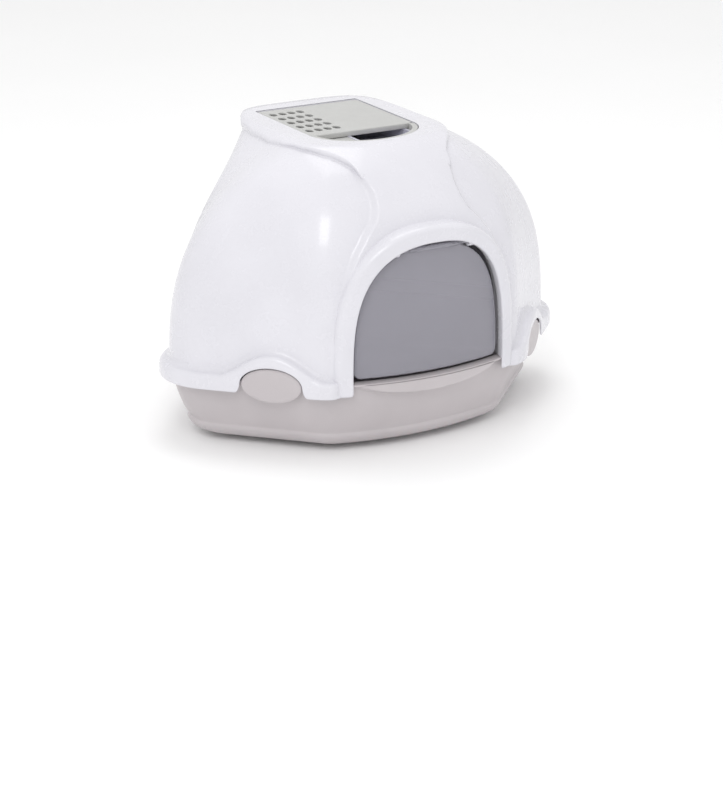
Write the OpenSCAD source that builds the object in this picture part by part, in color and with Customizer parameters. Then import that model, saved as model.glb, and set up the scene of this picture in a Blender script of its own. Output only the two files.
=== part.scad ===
// Corner cat litter box: a bowl shaped pan, a domed hood with a swing flap, and a vent lid
// over a small storage compartment. Millimetres, Z up, door towards -Y.

/* [Overall] */
// Half the distance between two opposite walls of the square plan, at the dome's foot
plan_half = 244; // [200:1:300]
// Total height, from the floor to the crown
total_height = 436; // [360:1:520]
// Corner rounding of the plan at the dome's foot
corner_r = 75; // [50:1:95]
// How far the door face stands behind the square plan's front corner
door_cut = 131; // [105:1:155]
// Plan radius of the curved door face
door_face_r = 420; // [330:5:700]

/* [Pan] */
// Height of the pan's rim above the floor
pan_rim_z = 115; // [90:1:130]
// Height of the feet under the pan
foot_h = 7; // [4:0.5:12]
// Wall thickness of the pan
pan_wall = 3; // [2:0.1:4]
// How far the pan's foot line stands inside its rim
pan_draft = 58; // [40:1:60]
// Height of the pan's raised back wall
back_wall_z = 130; // [125:1:180]

/* [Hood] */
// Wall thickness of the hood
hood_wall = 3; // [2:0.1:4]
// Step of the raised front band above the side panels
band_step = 8; // [4:0.5:12]
// How far the rolled rim stands out from the dome
rim_out = 15; // [10:0.5:20]
// Height of the rolled rim
rim_h = 27; // [20:0.5:34]
// Half width of the rounded crown
crown_w = 112; // [100:1:125]
// Half length of the rounded crown, rear to front
crown_l = 134; // [120:1:145]

/* [Door] */
// Clear width of the door opening at its foot
door_w = 252; // [200:1:270]
// Height of the arch above the pan's rim
door_h = 201; // [150:1:215]
// Width of the moulding round the door
surround_w = 25; // [15:1:30]
// Gap between the flap and the opening
flap_gap = 5.5; // [4:0.5:8]
// Thickness of the flap
flap_t = 3; // [2:0.1:4]
// Radius of the flap's pivot pins
flap_pin_r = 2.5; // [1.5:0.1:3]

/* [Lid] */
// Width of the lid
lid_w = 174; // [140:1:190]
// Length of the lid from hinge to front edge
lid_l = 172; // [140:1:190]
// Thickness of the lid panel
lid_t = 3; // [2:0.1:4]
// Height of the rim turned down round the lid
lid_rim = 8; // [6:0.5:12]
// Width of the lid's prop
prop_w = 22; // [14:1:30]
// Depth of the storage compartment behind the prop's rest
store_depth = 49; // [49:1:60]

/* [Clips] */
// Width of each oval clip
clip_w = 92; // [60:1:110]
// Height of each oval clip
clip_h = 52; // [36:1:60]
// Thickness of each clip's face plate
clip_t = 5; // [3:0.5:8]
// Radius of the clips' hinge pins
clip_pin_r = 2; // [1.5:0.1:3]

/* [Fits] */
// Radial clearance of every pin in its bore
pin_fit = 0.05; // [0.02:0.01:0.1]
// Gap between the hood and the pan it rests on
rest_gap = 0.4; // [0.3:0.1:1]
// Gap round each clip and the lid
part_gap = 1.5; // [1:0.1:3]

/* [Hidden] */
hood_col = "#f3f1f5";
pan_col = "#c4bec0";
clip_col = "#cbc5c7";
lid_col = "#cbcbc9";
root2 = sqrt(2);
eps = 0.01;
$fn = 48;

// heights that tie the pieces together
door_reach = round(plan_half*root2 - door_cut);   // from the middle of the plan to the door face
base_z = 100;                                // foot of the dome's curve
crown_z = total_height - 4;                  // flat crown of the dome under the raised band
rim_top = pan_rim_z + rest_gap + 6;          // top of the rolled rim
rim_low = rim_top - rim_h + 3;               // lower edge of the rolled rim
lid_z = total_height - 0.6;                  // top face of the closed lid, flush with the crown
bezel_z = lid_z - 9;                         // top face of the bezel
sill_z = pan_rim_z;                          // foot of the door opening
arch_z = sill_z + door_h;                    // top of the door opening
face_out = door_reach + band_step + 3;       // reach of the door moulding
face_in = face_out - 22;                     // back of the door moulding
flap_y = face_out - 13;                      // reach of the flap's outer face
pivot_z = arch_z - 9;                        // flap axis
pivot_half = door_half(pivot_z + 4, 0) - 3;  // half length of the flap's bead
bush_x = door_half(pivot_z, 0) + 3;          // where each flap bush starts
crown_y = 60;                                // middle of the crown
clip_along = 63;                             // clips sit this far behind the wall's middle
clip_z = pan_rim_z - 4;                      // middle of the clips
clip_in = 8;                                 // clip plate's back face, out from the dome's foot
clip_axis_z = clip_z - clip_h/2 + 6;
clip_axis_out = 3;
flange_out = clip_in - 1;                    // how far the pan's flange stands out
reach_back = (plan_half - corner_r)*root2 + corner_r + rim_out;   // rear corner of the rim
mid_y = (reach_back - face_out)/2;           // middle of the whole depth

// lid and compartment plan
lid_front = -6;
lid_back = lid_front + lid_l;
hinge_y = lid_back - 3;
hinge_z = lid_z - 6.3;
rod_r = 1.5;
knuckle_r = 3;
prop_y = 3;
lid_open = 50;                               // how far the lid opens
prop_turn = 94.7;                            // how far the prop has turned by then
prop_l = hinge_y - prop_y - 13;              // from the prop's pin to its foot
// the prop's foot stands just in front of this edge and just above this height
rest_y = hinge_y - (hinge_y - prop_y)*cos(lid_open) + prop_l*cos(prop_turn) + 0.6;
rest_z = hinge_z + (hinge_y - prop_y)*sin(lid_open) - prop_l*sin(prop_turn) - 2.75;
arc_reach = 76;                              // how far the bezel's arc bulges forward
filter_w = 46;
filter_l = lid_l - 32;
vent_x = 37 - lid_w/2;                       // middle of the vents and the filter
store_x0 = vent_x + filter_w/2 + 5;
store_x1 = lid_w/2 - 13;
store_back = lid_back - 12;
store_front = -60;
prop_x = (store_x0 + store_x1)/2 + 4;

// ---- curves ----
function sup(t, n, m) = pow(max(0, 1 - pow(min(1, max(0, t)), n)), 1/m);
function arc_pts(c, r, a0, a1, n) =
    [for (i = [0:n]) let (a = a0 + (a1 - a0)*i/n) [c[0] + r*cos(a), c[1] + r*sin(a)]];
function line_pts(a, b, n) = [for (i = [1:n - 1]) a + (b - a)*i/n];
// right half of the foot's outline, from the rear corner round the side corner to the door
function half_foot(h, yd, r, b) =
    let (c = (h - r)*root2, yc = door_face_r - yd, k = (h - b)*root2, q = k + yc,
        d = door_face_r - b,
        x = max(0.5, (2*q - sqrt(max(0, 4*q*q - 8*(q*q - d*d))))/4),
        y = x - k, a = atan2(y - yc, x),
        rear = arc_pts([0, c], r, 90, 45, 4), side = arc_pts([c, 0], r, 45, -45, 8),
        front = arc_pts([x, y], b, -45, a, 4))
    concat(rear, line_pts(rear[4], side[0], 6), side, line_pts(side[8], front[0], 4), front,
        [for (i = [1:5]) let (w = a + (-90 - a)*i/5)
            [door_face_r*cos(w), yc + door_face_r*sin(w)]]);
function foot(off) =
    let (h = half_foot(plan_half + off, door_reach + off, corner_r + max(off, -20),
        60 + max(off, -12)), n = len(h))
    concat(h, [for (i = [n - 2:-1:1]) [-h[i][0], h[i][1]]]);
// the crown's outline, a squared oval, in the direction a
function crown(a, off) = [(crown_w + off)*sign(cos(a))*pow(abs(cos(a)), 0.45),
    crown_y + (crown_l + off)*sign(sin(a))*pow(abs(sin(a)), 0.45)];
// whole plan outline of the dome at curve fraction t (0 foot, 1 crown), grown by off
function plan(t, off) = [for (p = foot(off)) let (a = atan2(p[1] - crown_y, p[0]),
    c = crown(a, off)) c + (p - c)*sup(t, 2.65 - 1.7*sin(a), 1.2)];
function lift(p, z) = [for (q = p) [q[0], q[1], z]];
// fractions of the dome's height, closer together towards the crown
function frac(i, n) = 1 - pow(1 - i/n, 1.8);
function dome_rings(off, up, z0, n = 13) = let (t0 = (z0 - base_z)/(crown_z - base_z))
    [for (i = [0:n]) let (t = t0 + (1 - t0)*frac(i, n))
        lift(plan(t, off), base_z + (crown_z - base_z)*t + up*t)];
// half width of the door opening at height z, drawn in by g
function door_half(z, g) = (door_w/2 - g)*sup((z - sill_z)/(door_h - g), 3.2, 2.4);
function pan_off(z) = let (lz = 30, li = 26)
    z > lz ? -1 - li*pow((pan_rim_z - z)/(pan_rim_z - lz), 1.5)
        : -li + 2 - (pan_draft - li)*(1 - sqrt(max(0, 1 - pow((lz - z)/(lz - foot_h), 2))));
pan_zs = [7, 7.6, 9.5, 13, 18, 24, 30, 30.6, 45, 60, 75, 90, 103, 115];
function pan_z(i) = foot_h + (pan_zs[i] - 7)*(pan_rim_z - 1 - foot_h)/108;

// ---- helpers ----
module skin(rings) {
    n = len(rings[0]);
    m = len(rings);
    polyhedron([for (r = rings) each r], concat(
        [[for (i = [n - 1:-1:0]) i]],
        [for (k = [0:m - 2], i = [0:n - 1]) [k*n + i, k*n + (i + 1)%n, (k + 1)*n + (i + 1)%n]],
        [for (k = [0:m - 2], i = [0:n - 1]) [k*n + i, (k + 1)*n + (i + 1)%n, (k + 1)*n + i]],
        [[for (i = [0:n - 1]) (m - 1)*n + i]]));
}
module slab(off, z0, z1) {
    translate([0, 0, z0]) linear_extrude(z1 - z0) polygon(plan(0, off));
}
module place() translate([0, -mid_y, 0]) children();
// oval drawn in the frame of a front wall: x along the wall, y out of it, z up. Its lower half
// may be deeper, which leaves room for a clip that swings down
module oval(w, h, y0, y1, deeper = 0) {
    translate([0, -plan_half - y0, clip_z]) rotate([90, 0, 0]) linear_extrude(y1 - y0)
        polygon([for (a = [0:7.5:352.5]) [w/2*cos(a), (h/2 + (a > 180 ? deeper : 0))*sin(a)]]);
}
// side -1 is the left front wall, 1 the right
module on_wall(side) {
    mirror([side > 0 ? 1 : 0, 0, 0]) rotate([0, 0, -45]) translate([-clip_along, 0, 0]) children();
}
module door_outline(g, z0) {
    n = 16;
    zt = sill_z + door_h - g;
    zb = max(z0, sill_z);
    r = concat(z0 < sill_z ? [[door_w/2 - g, z0]] : [],
        [for (i = [0:n]) let (z = zb + (zt - zb)*sin(90*i/n)) [door_half(z, g), z]]);
    polygon(concat(r, [for (i = [len(r) - 2:-1:0]) [-r[i][0], r[i][1]]]));
}
module door_prism(g, z0, y0, y1) {
    translate([0, y1, 0]) rotate([90, 0, 0]) linear_extrude(y1 - y0) door_outline(g, z0);
}
// upright sheet that follows the curve of the door face, between two reaches
module face_sheet(r0, r1, z0, z1) {
    translate([0, door_face_r - r1, z0]) difference() {
        cylinder(h = z1 - z0, r = door_face_r, $fn = 180);
        translate([0, 0, -1]) cylinder(h = z1 - z0 + 2, r = door_face_r - r1 + r0, $fn = 180);
    }
}
// raised band, seen from the front: it widens downwards round the door
function both(h) = concat(h, [for (i = [len(h) - 1:-1:0]) [-h[i][0], h[i][1]]]);
front_edge = [[154, 60], [153, 170], [148, 200], [141, 235], [130, 277], [117, 305], [98, 331],
    [82, 348], [74, 365], [71.2, 386], [71.2, 500]];
// and seen from above: it widens rearwards round the lid
top_edge = [[71.2, -260], [71.2, -160], [76.2, -139], [84, -120], [95, -100], [110, -78], [125, -46],
    [135, -5], [139, 45], [136, 100], [126, 150], [104, 190], [70, 212], [30, 222]];
module band_zone(g) {
    translate([0, -110, 0]) rotate([90, 0, 0]) linear_extrude(300) offset(delta = -g)
        polygon(both(front_edge));
    translate([0, 0, 352]) linear_extrude(300) offset(delta = -g) polygon(both(top_edge));
}
// plan of the lid's seat: the lid's own outline and the arc in front of it, grown by g
module seat_plan(g) {
    offset(r = g) union() {
        translate([-lid_w/2, lid_front]) square([lid_w, lid_l]);
        translate([0, lid_front]) intersection() {
            scale([1, (arc_reach + lid_front)/(lid_w/2)]) circle(lid_w/2, $fn = 64);
            translate([-lid_w/2, -200]) square([lid_w, 201]);
        }
    }
}
module pin_x(r, x0, x1, y, z) {
    translate([x0, y, z]) rotate([0, 90, 0]) cylinder(h = x1 - x0, r = r);
}

// ---- pan ----
module pan_body(grow, drop) {
    skin([for (i = [0:len(pan_zs) - 1]) let (z = pan_z(i))
        lift(plan(0, pan_off(z) + grow), z + drop)]);
}
module pan() color(pan_col) place() resize([0, 0, 0]) {
    difference() {
        union() {
            pan_body(0, 0);
            // apron under the door, between the feet of the door moulding
            intersection() {
                slab(9, 60, pan_rim_z - 1.5);
                translate([0, 0, pan_rim_z]) rotate([90, 0, 0]) linear_extrude(300)
                    scale([1, 0.18]) circle(door_w/2 - 3, $fn = 72);
            }
            for (s = [-1, 1]) on_wall(s) pan_ears();
            // feet
            for (p = [[-118, -58], [118, -58], [-60, 130], [60, 130]])
                translate(p) cylinder(h = foot_h + 2, r1 = 22, r2 = 26, $fn = 40);
            translate([0, -118]) cylinder(h = foot_h + 2, r1 = 16, r2 = 19, $fn = 40);
        }
        pan_body(-pan_wall, pan_wall);
    }
    // flange that carries the hood
    difference() {
        slab(flange_out, pan_rim_z - 3, pan_rim_z);
        slab(-12.5, 0, pan_rim_z + 1);
    }
    // raised back wall, just inside the hood's wall
    intersection() {
        difference() {
            under_dome(hood_wall + 2, pan_rim_z - 2.5);
            under_dome(hood_wall + pan_wall + 2, pan_rim_z - 4);
        }
        translate([-400, 0, 0]) rotate([90, 0, 90]) linear_extrude(800)
            polygon([[-70, 20], [-70, pan_rim_z - 1], [20, back_wall_z], [400, back_wall_z], [400, 20]]);
    }
}
// solid that stays a given depth under the dome, a little above the back wall
module under_dome(depth, z0) {
    skin([for (i = [0:4]) let (z = z0 + (back_wall_z + 4 - z0)*i/4)
        lift(plan((z - base_z)/(crown_z - base_z), -depth), z)]);
}
// two ears that hold a clip's pin
module pan_ears() {
    for (x = [-24, 16]) translate([x, 0, 0]) difference() {
        translate([0, -plan_half - clip_axis_out, clip_axis_z]) rotate([0, 90, 0])
            hull() {
                cylinder(h = 8, r = 4.6, $fn = 32);
                translate([-6, 16, 0]) cylinder(h = 8, r = 5, $fn = 32);
            }
        translate([-1, -plan_half - clip_axis_out, clip_axis_z]) rotate([0, 90, 0])
            cylinder(h = 10, r = clip_pin_r + 0.2, $fn = 32);
    }
}

// ---- hood ----
module hood_skin(drop, z0) {
    skin(dome_rings(-drop, -drop, z0));
    intersection() {
        skin(dome_rings(band_step - drop, 4 - drop, z0));
        band_zone(drop);
    }
}
module surround() {
    intersection() {
        face_sheet(face_in, face_out, rim_low + 0.4, arch_z + surround_w + 1);
        door_prism(-surround_w, rim_low, -300, -100);
    }
}
module hood_shell() color(hood_col) place() resize([0, 0, 0]) difference() {
    union() {
        difference() {
            union() {
                hood_skin(0, rim_top - 2);
                rolled_rim();
            }
            hood_skin(hood_wall, rim_top - 20);
        }
        surround();
        // well round the lid, with a ledge for the bezel
        intersection() {
            hood_skin(0.4, rim_top - 1);
            translate([0, 0, bezel_z - 6.2]) linear_extrude(60) offset(r = hood_wall) seat_gap();
        }
    }
    // below the flange's top only a skin hangs in front of the pan
    slab(flange_out + 1.2, 0, pan_rim_z + rest_gap);
    door_prism(0, rim_low - 20, -400, -100);
    // the opening is wider behind the flap, clear of it as it swings in
    intersection() {
        face_sheet(face_in - 30, face_in + 7, sill_z + 40, arch_z + 10);
        door_prism(-3, sill_z + 30, -400, -100);
    }
    translate([0, 0, bezel_z - 3.2]) linear_extrude(60) seat_gap();
    translate([0, 0, bezel_z - 90]) linear_extrude(100) seat_plan(-9);
    // pockets for the flap's bushes
    for (s = [-1, 1]) mirror([s > 0 ? 1 : 0, 0, 0])
        pin_x(7.2, bush_x - 12, bush_x + 11.5, -flap_y + flap_t/2, pivot_z);
}
module seat_gap() {
    seat_plan(part_gap);
    translate([-lid_w/2 - part_gap, lid_back - 5]) square([lid_w + 2*part_gap, 10]);
}
// rolled rim: a downward channel that arches over each clip
module rolled_rim() {
    difference() {
        union() {
            difference() {
                slab(rim_out, rim_low, rim_top);
                slab(rim_out - hood_wall, rim_low - 1, rim_top - hood_wall);
            }
            for (s = [-1, 1]) on_wall(s) difference() {
                oval(clip_w + 2*part_gap + 36, clip_h + 2*part_gap + 36, 0, rim_out - 0.25);
                oval(clip_w + 2*part_gap + 30, clip_h + 2*part_gap + 30, -1,
                    rim_out - hood_wall - 0.25);
                translate([-100, -400, 0]) cube([200, 800, clip_z - 6]);
            }
            for (s = [-1, 1]) on_wall(s) difference() {
                oval(clip_w + 2*part_gap + 6, clip_h + 2*part_gap + 6, 0, rim_out - 0.5, 8);
                translate([-100, -400, 0]) cube([200, 800, clip_z - 6]);
            }
        }
        for (s = [-1, 1]) on_wall(s) oval(clip_w + 2*part_gap, clip_h + 2*part_gap, 0.5, 40, 8);
        slab(-hood_wall, 0, 400);
    }
}
module flap_bush(s) mirror([s > 0 ? 0 : 1, 0, 0]) difference() {
    pin_x(7, bush_x, bush_x + 11, -flap_y + flap_t/2, pivot_z);
    pin_x(flap_pin_r + pin_fit, bush_x - 1, bush_x + 9, -flap_y + flap_t/2, pivot_z);
}
module flap_bush_left() color(hood_col) place() flap_bush(-1);
module flap_bush_right() color(hood_col) place() flap_bush(1);

// ---- flap ----
module flap_pane() color("#a3a1ab", 0.55) place() {
    y = -flap_y + flap_t/2;
    intersection() {
        face_sheet(flap_y - flap_t, flap_y, sill_z, arch_z + 5);
        door_prism(flap_gap, sill_z + flap_gap, -300, -100);
    }
    pin_x(4, -pivot_half, pivot_half, y, pivot_z);
    pin_x(flap_pin_r, -bush_x - 8, bush_x + 8, y, pivot_z);
}

// ---- lid seat and compartment ----
module bezel() color(lid_col) place() difference() {
    union() {
        translate([0, 0, bezel_z - 3]) linear_extrude(3) seat_flat(0.3);
        // collar that stands round the arc in front of the lid
        difference() {
            translate([0, 0, bezel_z - 1]) linear_extrude(lid_z - bezel_z + 0.6)
                arc_flat(0, lid_front - 1.5);
            translate([0, 0, bezel_z - 0.5]) linear_extrude(20) arc_flat(-8, lid_front);
        }
        for (s = [-1, 1]) translate([s*(lid_w/2 - 14) - 3, hinge_y, 0]) hinge_ear();
    }
    intersection() {
        translate([store_x0, store_front, bezel_z - 4])
            cube([store_x1 - store_x0, store_back - store_front, 8]);
        translate([0, 0, bezel_z - 5]) linear_extrude(10) seat_flat(-10);
    }
    translate([vent_x - filter_w/2, lid_front + 8, bezel_z - 4]) cube([filter_w, filter_l, 8]);
    // room for the lid's knuckle
    translate([-lid_w/2 + 22, hinge_y - 4.5, bezel_z - 2]) cube([lid_w - 44, 9, 8]);
    for (s = [-1, 1]) pin_x(rod_r + pin_fit, s*(lid_w/2 - 14) - 6, s*(lid_w/2 - 14) + 6, hinge_y, hinge_z);
}
// bezel's plan: straight sides and an arc, as exact curves
module seat_flat(g) {
    translate([-lid_w/2 - g, lid_front]) square([lid_w + 2*g, lid_l + g]);
    arc_flat(g, lid_front + eps);
}
module arc_flat(g, y1) {
    intersection() {
        translate([0, lid_front + 2]) polygon([for (a = [180:4:360]) [(lid_w/2 + g)*cos(a),
            (arc_reach + lid_front + 2 + g)*sin(a)]]);
        translate([-200, -200]) square([400, 200 + y1]);
    }
}
module hinge_ear() {
    translate([0, -knuckle_r, bezel_z - eps]) cube([6, 2*knuckle_r, hinge_z - bezel_z]);
    translate([0, 0, hinge_z]) rotate([0, 90, 0]) cylinder(h = 6, r = knuckle_r - 0.2);
}
// open box, a sloping floor under the prop's foot, and a lip that hangs on the bezel
module storage_tray() color("#dcdde4", 0.5) place() {
    w = store_x1 - store_x0;
    difference() {
        union() {
            intersection() {
                translate([store_x0 + 0.5, 0, 0]) rotate([90, 0, 90]) linear_extrude(w - 1)
                    store_side(0.5, 0);
                translate([0, 0, bezel_z - 60]) linear_extrude(70) seat_flat(-10.5);
            }
            intersection() {
                translate([store_x0 - 2.5, store_front - 2.5, bezel_z])
                    cube([w + 5, store_back - store_front + 5, 0.8]);
                translate([0, 0, bezel_z - 1]) linear_extrude(3) seat_flat(-8.5);
            }
        }
        intersection() {
            translate([store_x0 + 2.3, 0, 0]) rotate([90, 0, 90]) linear_extrude(w - 4.6)
                store_side(2.3, 2);
            translate([0, 0, bezel_z - 60]) linear_extrude(70) seat_flat(-12.3);
        }
    }
}
module store_side(g, t) {
    z0 = bezel_z - store_depth + t;
    z1 = rest_z + t;
    polygon([[store_front + g, bezel_z + 2*t], [store_front + g, z1], [rest_y, z1],
        [rest_y + 1, z1 - 4], [rest_y + 4.5, z1 - 6.5], [rest_y + 12.5, z1 - 12],
        [rest_y + 35.5, z0], [store_back - g, z0], [store_back - g, bezel_z + 2*t]]);
}
module filter_holder() color(lid_col) place() difference() {
    union() {
        translate([vent_x - filter_w/2 + 0.5, lid_front + 8.5, bezel_z - 14])
            cube([filter_w - 1, filter_l - 1, 14]);
        translate([vent_x - filter_w/2 - 2, lid_front + 6, bezel_z]) cube([filter_w + 4, filter_l + 4, 1]);
    }
    translate([vent_x - filter_w/2 + 2, lid_front + 10, bezel_z - 12])
        cube([filter_w - 4, filter_l - 4, 20]);
    for (i = [0:floor((filter_l - 10)/13) - 1])
        translate([vent_x - 15, lid_front + 18 + i*13, bezel_z - 20]) cube([30, 6, 20]);
}
module charcoal_filter() color("#3a3638") place()
    translate([vent_x - filter_w/2 + 2.5, lid_front + 10.5, bezel_z - 12])
        cube([filter_w - 5, filter_l - 5, 8]);

// ---- lid ----
module lid_panel() color(lid_col) place() difference() {
    union() {
        translate([-lid_w/2, lid_front, lid_z - lid_t]) cube([lid_w, lid_l, lid_t]);
        // rim turned down at the sides and front
        for (s = [0, 1]) mirror([s, 0, 0]) translate([lid_w/2 - 2.5, lid_front, lid_z - lid_rim])
            cube([2.5, lid_l - 14, lid_rim]);
        translate([-lid_w/2, lid_front, lid_z - lid_rim]) cube([lid_w, 2.5, lid_rim]);
        // hinge knuckle
        pin_x(knuckle_r, -lid_w/2 + 24, lid_w/2 - 24, hinge_y, hinge_z);
        translate([-lid_w/2 + 24, hinge_y - knuckle_r, hinge_z])
            cube([lid_w - 48, 2*knuckle_r, lid_z - hinge_z - 1]);
        // lugs that hold the prop
        for (x = [-prop_w/2 - 4.5, prop_w/2 + 0.5]) translate([prop_x + x, prop_y - 3, hinge_z - 3])
            cube([4, 6, lid_z - hinge_z + 2]);
    }
    pin_x(rod_r, -lid_w/2, lid_w/2, hinge_y, hinge_z);
    pin_x(rod_r + pin_fit, prop_x - prop_w/2 - 6, prop_x + prop_w/2 + 6, prop_y, hinge_z);
    // vents
    for (i = [0:3], j = [0:4]) translate([vent_x + (i - 1.5)*15.3, lid_front + 30 + j*(lid_l - 58)/4,
        lid_z - 5])
        vent();
}
module vent() {
    linear_extrude(10) polygon([for (a = [0:15:345]) [5.6*cos(a), 8.5*sin(a)]]);
}
module lid_rod() color("#b9babd") place()
    pin_x(rod_r, -lid_w/2 + 10, lid_w/2 - 10, hinge_y, hinge_z);
module prop_strut() color(lid_col) place() difference() {
    union() {
        pin_x(knuckle_r, prop_x - prop_w/2, prop_x + prop_w/2, prop_y, hinge_z);
        translate([prop_x - prop_w/2, prop_y, hinge_z - 1.3]) cube([prop_w, prop_l, 2.6]);
    }
    pin_x(rod_r, prop_x - prop_w/2 - 1, prop_x + prop_w/2 + 1, prop_y, hinge_z);
}
module prop_pin() color("#b9babd") place()
    pin_x(rod_r, prop_x - prop_w/2 - 4.5, prop_x + prop_w/2 + 4.5, prop_y, hinge_z);

// ---- clips ----
module clip(s) on_wall(s) difference() {
    union() {
        oval(clip_w, clip_h, clip_in, clip_in + clip_t - 1.5);
        oval(clip_w - 4, clip_h - 4, clip_in, clip_in + clip_t);
        translate([-15.5, -plan_half - clip_axis_out, clip_axis_z]) rotate([0, 90, 0])
            cylinder(h = 31, r = 4.2);
        translate([-15.5, -plan_half - clip_in - 1, clip_axis_z - 2])
            cube([31, clip_in - clip_axis_out + 1, 4]);
    }
    translate([-20, -plan_half - clip_axis_out, clip_axis_z]) rotate([0, 90, 0])
        cylinder(h = 40, r = clip_pin_r + pin_fit);
}
module clip_left() color(clip_col) place() clip(-1);
module clip_right() color(clip_col) place() clip(1);
module clip_pin(s) on_wall(s) translate([-24, -plan_half - clip_axis_out, clip_axis_z])
    rotate([0, 90, 0]) cylinder(h = 48, r = clip_pin_r);
module clip_pin_left() color("#b9babd") place() clip_pin(-1);
module clip_pin_right() color("#b9babd") place() clip_pin(1);

pan();
hood_shell();
bezel();
storage_tray();
filter_holder();
charcoal_filter();
flap_bush_left();
flap_bush_right();
flap_pane();
lid_panel();
lid_rod();
prop_strut();
prop_pin();
clip_left();
clip_right();
clip_pin_left();
clip_pin_right();
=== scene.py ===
"""Corner cat litter box with a hood: moulded dome, pan, smoked flap, vent lid and side clips."""

import bpy
import bmesh
import numpy as np
from bpy.props import FloatProperty, FloatVectorProperty, IntProperty, PointerProperty
from mathutils import Matrix, Vector


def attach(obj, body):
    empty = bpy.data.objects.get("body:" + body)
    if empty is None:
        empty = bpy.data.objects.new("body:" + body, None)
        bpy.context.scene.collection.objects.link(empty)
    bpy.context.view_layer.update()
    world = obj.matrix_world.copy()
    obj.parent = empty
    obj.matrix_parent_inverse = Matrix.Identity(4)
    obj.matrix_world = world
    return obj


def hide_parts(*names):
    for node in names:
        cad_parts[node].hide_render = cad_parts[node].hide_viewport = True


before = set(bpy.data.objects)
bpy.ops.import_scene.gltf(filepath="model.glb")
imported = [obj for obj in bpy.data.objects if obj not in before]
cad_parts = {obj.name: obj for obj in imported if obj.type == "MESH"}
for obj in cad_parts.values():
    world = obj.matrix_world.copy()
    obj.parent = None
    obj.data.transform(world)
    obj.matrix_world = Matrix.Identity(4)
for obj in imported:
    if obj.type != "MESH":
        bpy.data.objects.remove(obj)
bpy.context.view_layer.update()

bl_info = {
    "name": "Hooded Litter Box",
    "version": (1, 0, 0),
    "blender": (4, 5, 0),
    "location": "View3D > Sidebar > Litter Box",
    "description": "Builds a corner litter box with a domed hood, swing flap, vent lid and clips",
    "category": "Add Mesh",
}

MM = 0.001
MID_Y = 52.0          # the row frame's centre, behind the middle of the square plan
BASE_Z = 100.0        # foot of the dome's curve
CROWN_Z = 432.0       # crown of the dome under the raised band
BAND_STEP = 8.0       # the raised band stands this far out of the side panels
BAND_UP = 4.0         # and this far above them on the crown
CENTRE_Y = 60.0       # middle of the crown
PLAN_HALF = 244.0     # half the square plan, wall to wall
SILL_Z, DOOR_H, DOOR_W = 115.0, 201.0, 252.0
FACE_R = 420.0        # plan radius of the door face
FACE_MID = 195.0      # how far back the door face's axis stands behind the plan's middle
FACE_OUT = 225.0      # reach of the door moulding's front
RIM_LOW, RIM_TOP = 97.4, 121.4     # edges of the rolled rim
FLAP_Z, FLAP_PIN_Y = 307.0, -210.5  # the flap's axis
FLOOR_Z, LEDGE_Z = 7.0, 30.0       # the pan's bottom, and the ledge in its wall
AXIS_OUT, AXIS_Z = 3.0, 91.0       # a clip's axis, out from the wall and up
LID_W, LID_FRONT, LID_BACK, LID_Z = 174.0, -6.0, 166.0, 435.4
BEZEL_Z = 426.4
WALL_TOP = 130.0      # top of the pan's raised back wall
ARC_REACH = 76.0
CLIP_ALONG, CLIP_Z, CLIP_W, CLIP_H = 63.0, 111.0, 92.0, 52.0

# The seam of the raised band, seen from the front as half width against height,
# and seen from above as half width against distance back.
SEAM_FRONT = np.array([[154, 60], [153, 170], [148, 200], [141, 235], [130, 277], [117, 305],
                       [98, 331], [82, 348], [74, 365], [71.2, 386], [71.2, 500]], float)
SEAM_TOP = np.array([[71.2, -260], [71.2, -160], [76.2, -139], [84, -120], [95, -100],
                     [110, -78], [125, -46], [135, -5], [139, 45], [136, 100], [126, 150],
                     [104, 190], [70, 212], [30, 222]], float)


# ---------------------------------------------------------------- curves of the dome

def arc(cx, cy, radius, start, end, count):
    """Points on a circle: centre plus radius times cosine and sine of evenly stepped angles."""
    a = np.radians(np.linspace(start, end, count))
    return np.column_stack([cx + radius * np.cos(a), cy + radius * np.sin(a)])


def half_foot(off):
    """Half of the foot's outline, door centre to rear centre: a square turned 45 degrees with
    rounded corners, its front corner cut by the door's arc and blended into it. Every point at
    one index is the same place on the outline for any offset."""
    h, reach = PLAN_HALF + off, 214 + off
    r, b = 75 + max(off, -20), 60 + max(off, -12)
    root2 = np.sqrt(2)
    c, k, yc = (h - r) * root2, (h - b) * root2, FACE_R - reach
    q, d = k + yc, FACE_R - b
    x = max(0.5, (2 * q - np.sqrt(max(0, 4 * q * q - 8 * (q * q - d * d)))) / 4)
    y = x - k
    a = np.degrees(np.arctan2(y - yc, x))
    door = arc(0, yc, FACE_R, -90, a, 160)
    blend = arc(x, y, b, a, -45, 60)
    side = arc(c, 0, r, -45, 45, 120)
    rear = arc(0, c, r, 45, 90, 70)
    wall1 = blend[-1] + (side[0] - blend[-1]) * np.linspace(0, 1, 140)[:, None]
    wall2 = side[-1] + (rear[0] - side[-1]) * np.linspace(0, 1, 240)[:, None]
    return np.vstack([door, blend[1:], wall1[1:], side[1:], wall2[1:], rear[1:]])


def along(points):
    """Distance along a polyline, from nought at its start."""
    return np.concatenate([[0], np.cumsum(np.linalg.norm(np.diff(points, axis=0), axis=1))])


FOOT_0 = half_foot(0.0)
FOOT_U = along(FOOT_0) / along(FOOT_0)[-1]


def foot(u, off):
    """Point of the foot's outline at fraction u, 0 at the door and 1 at the rear centre."""
    table = half_foot(off)
    return np.stack([np.interp(u, FOOT_U, table[:, 0]), np.interp(u, FOOT_U, table[:, 1])], -1)


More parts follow.
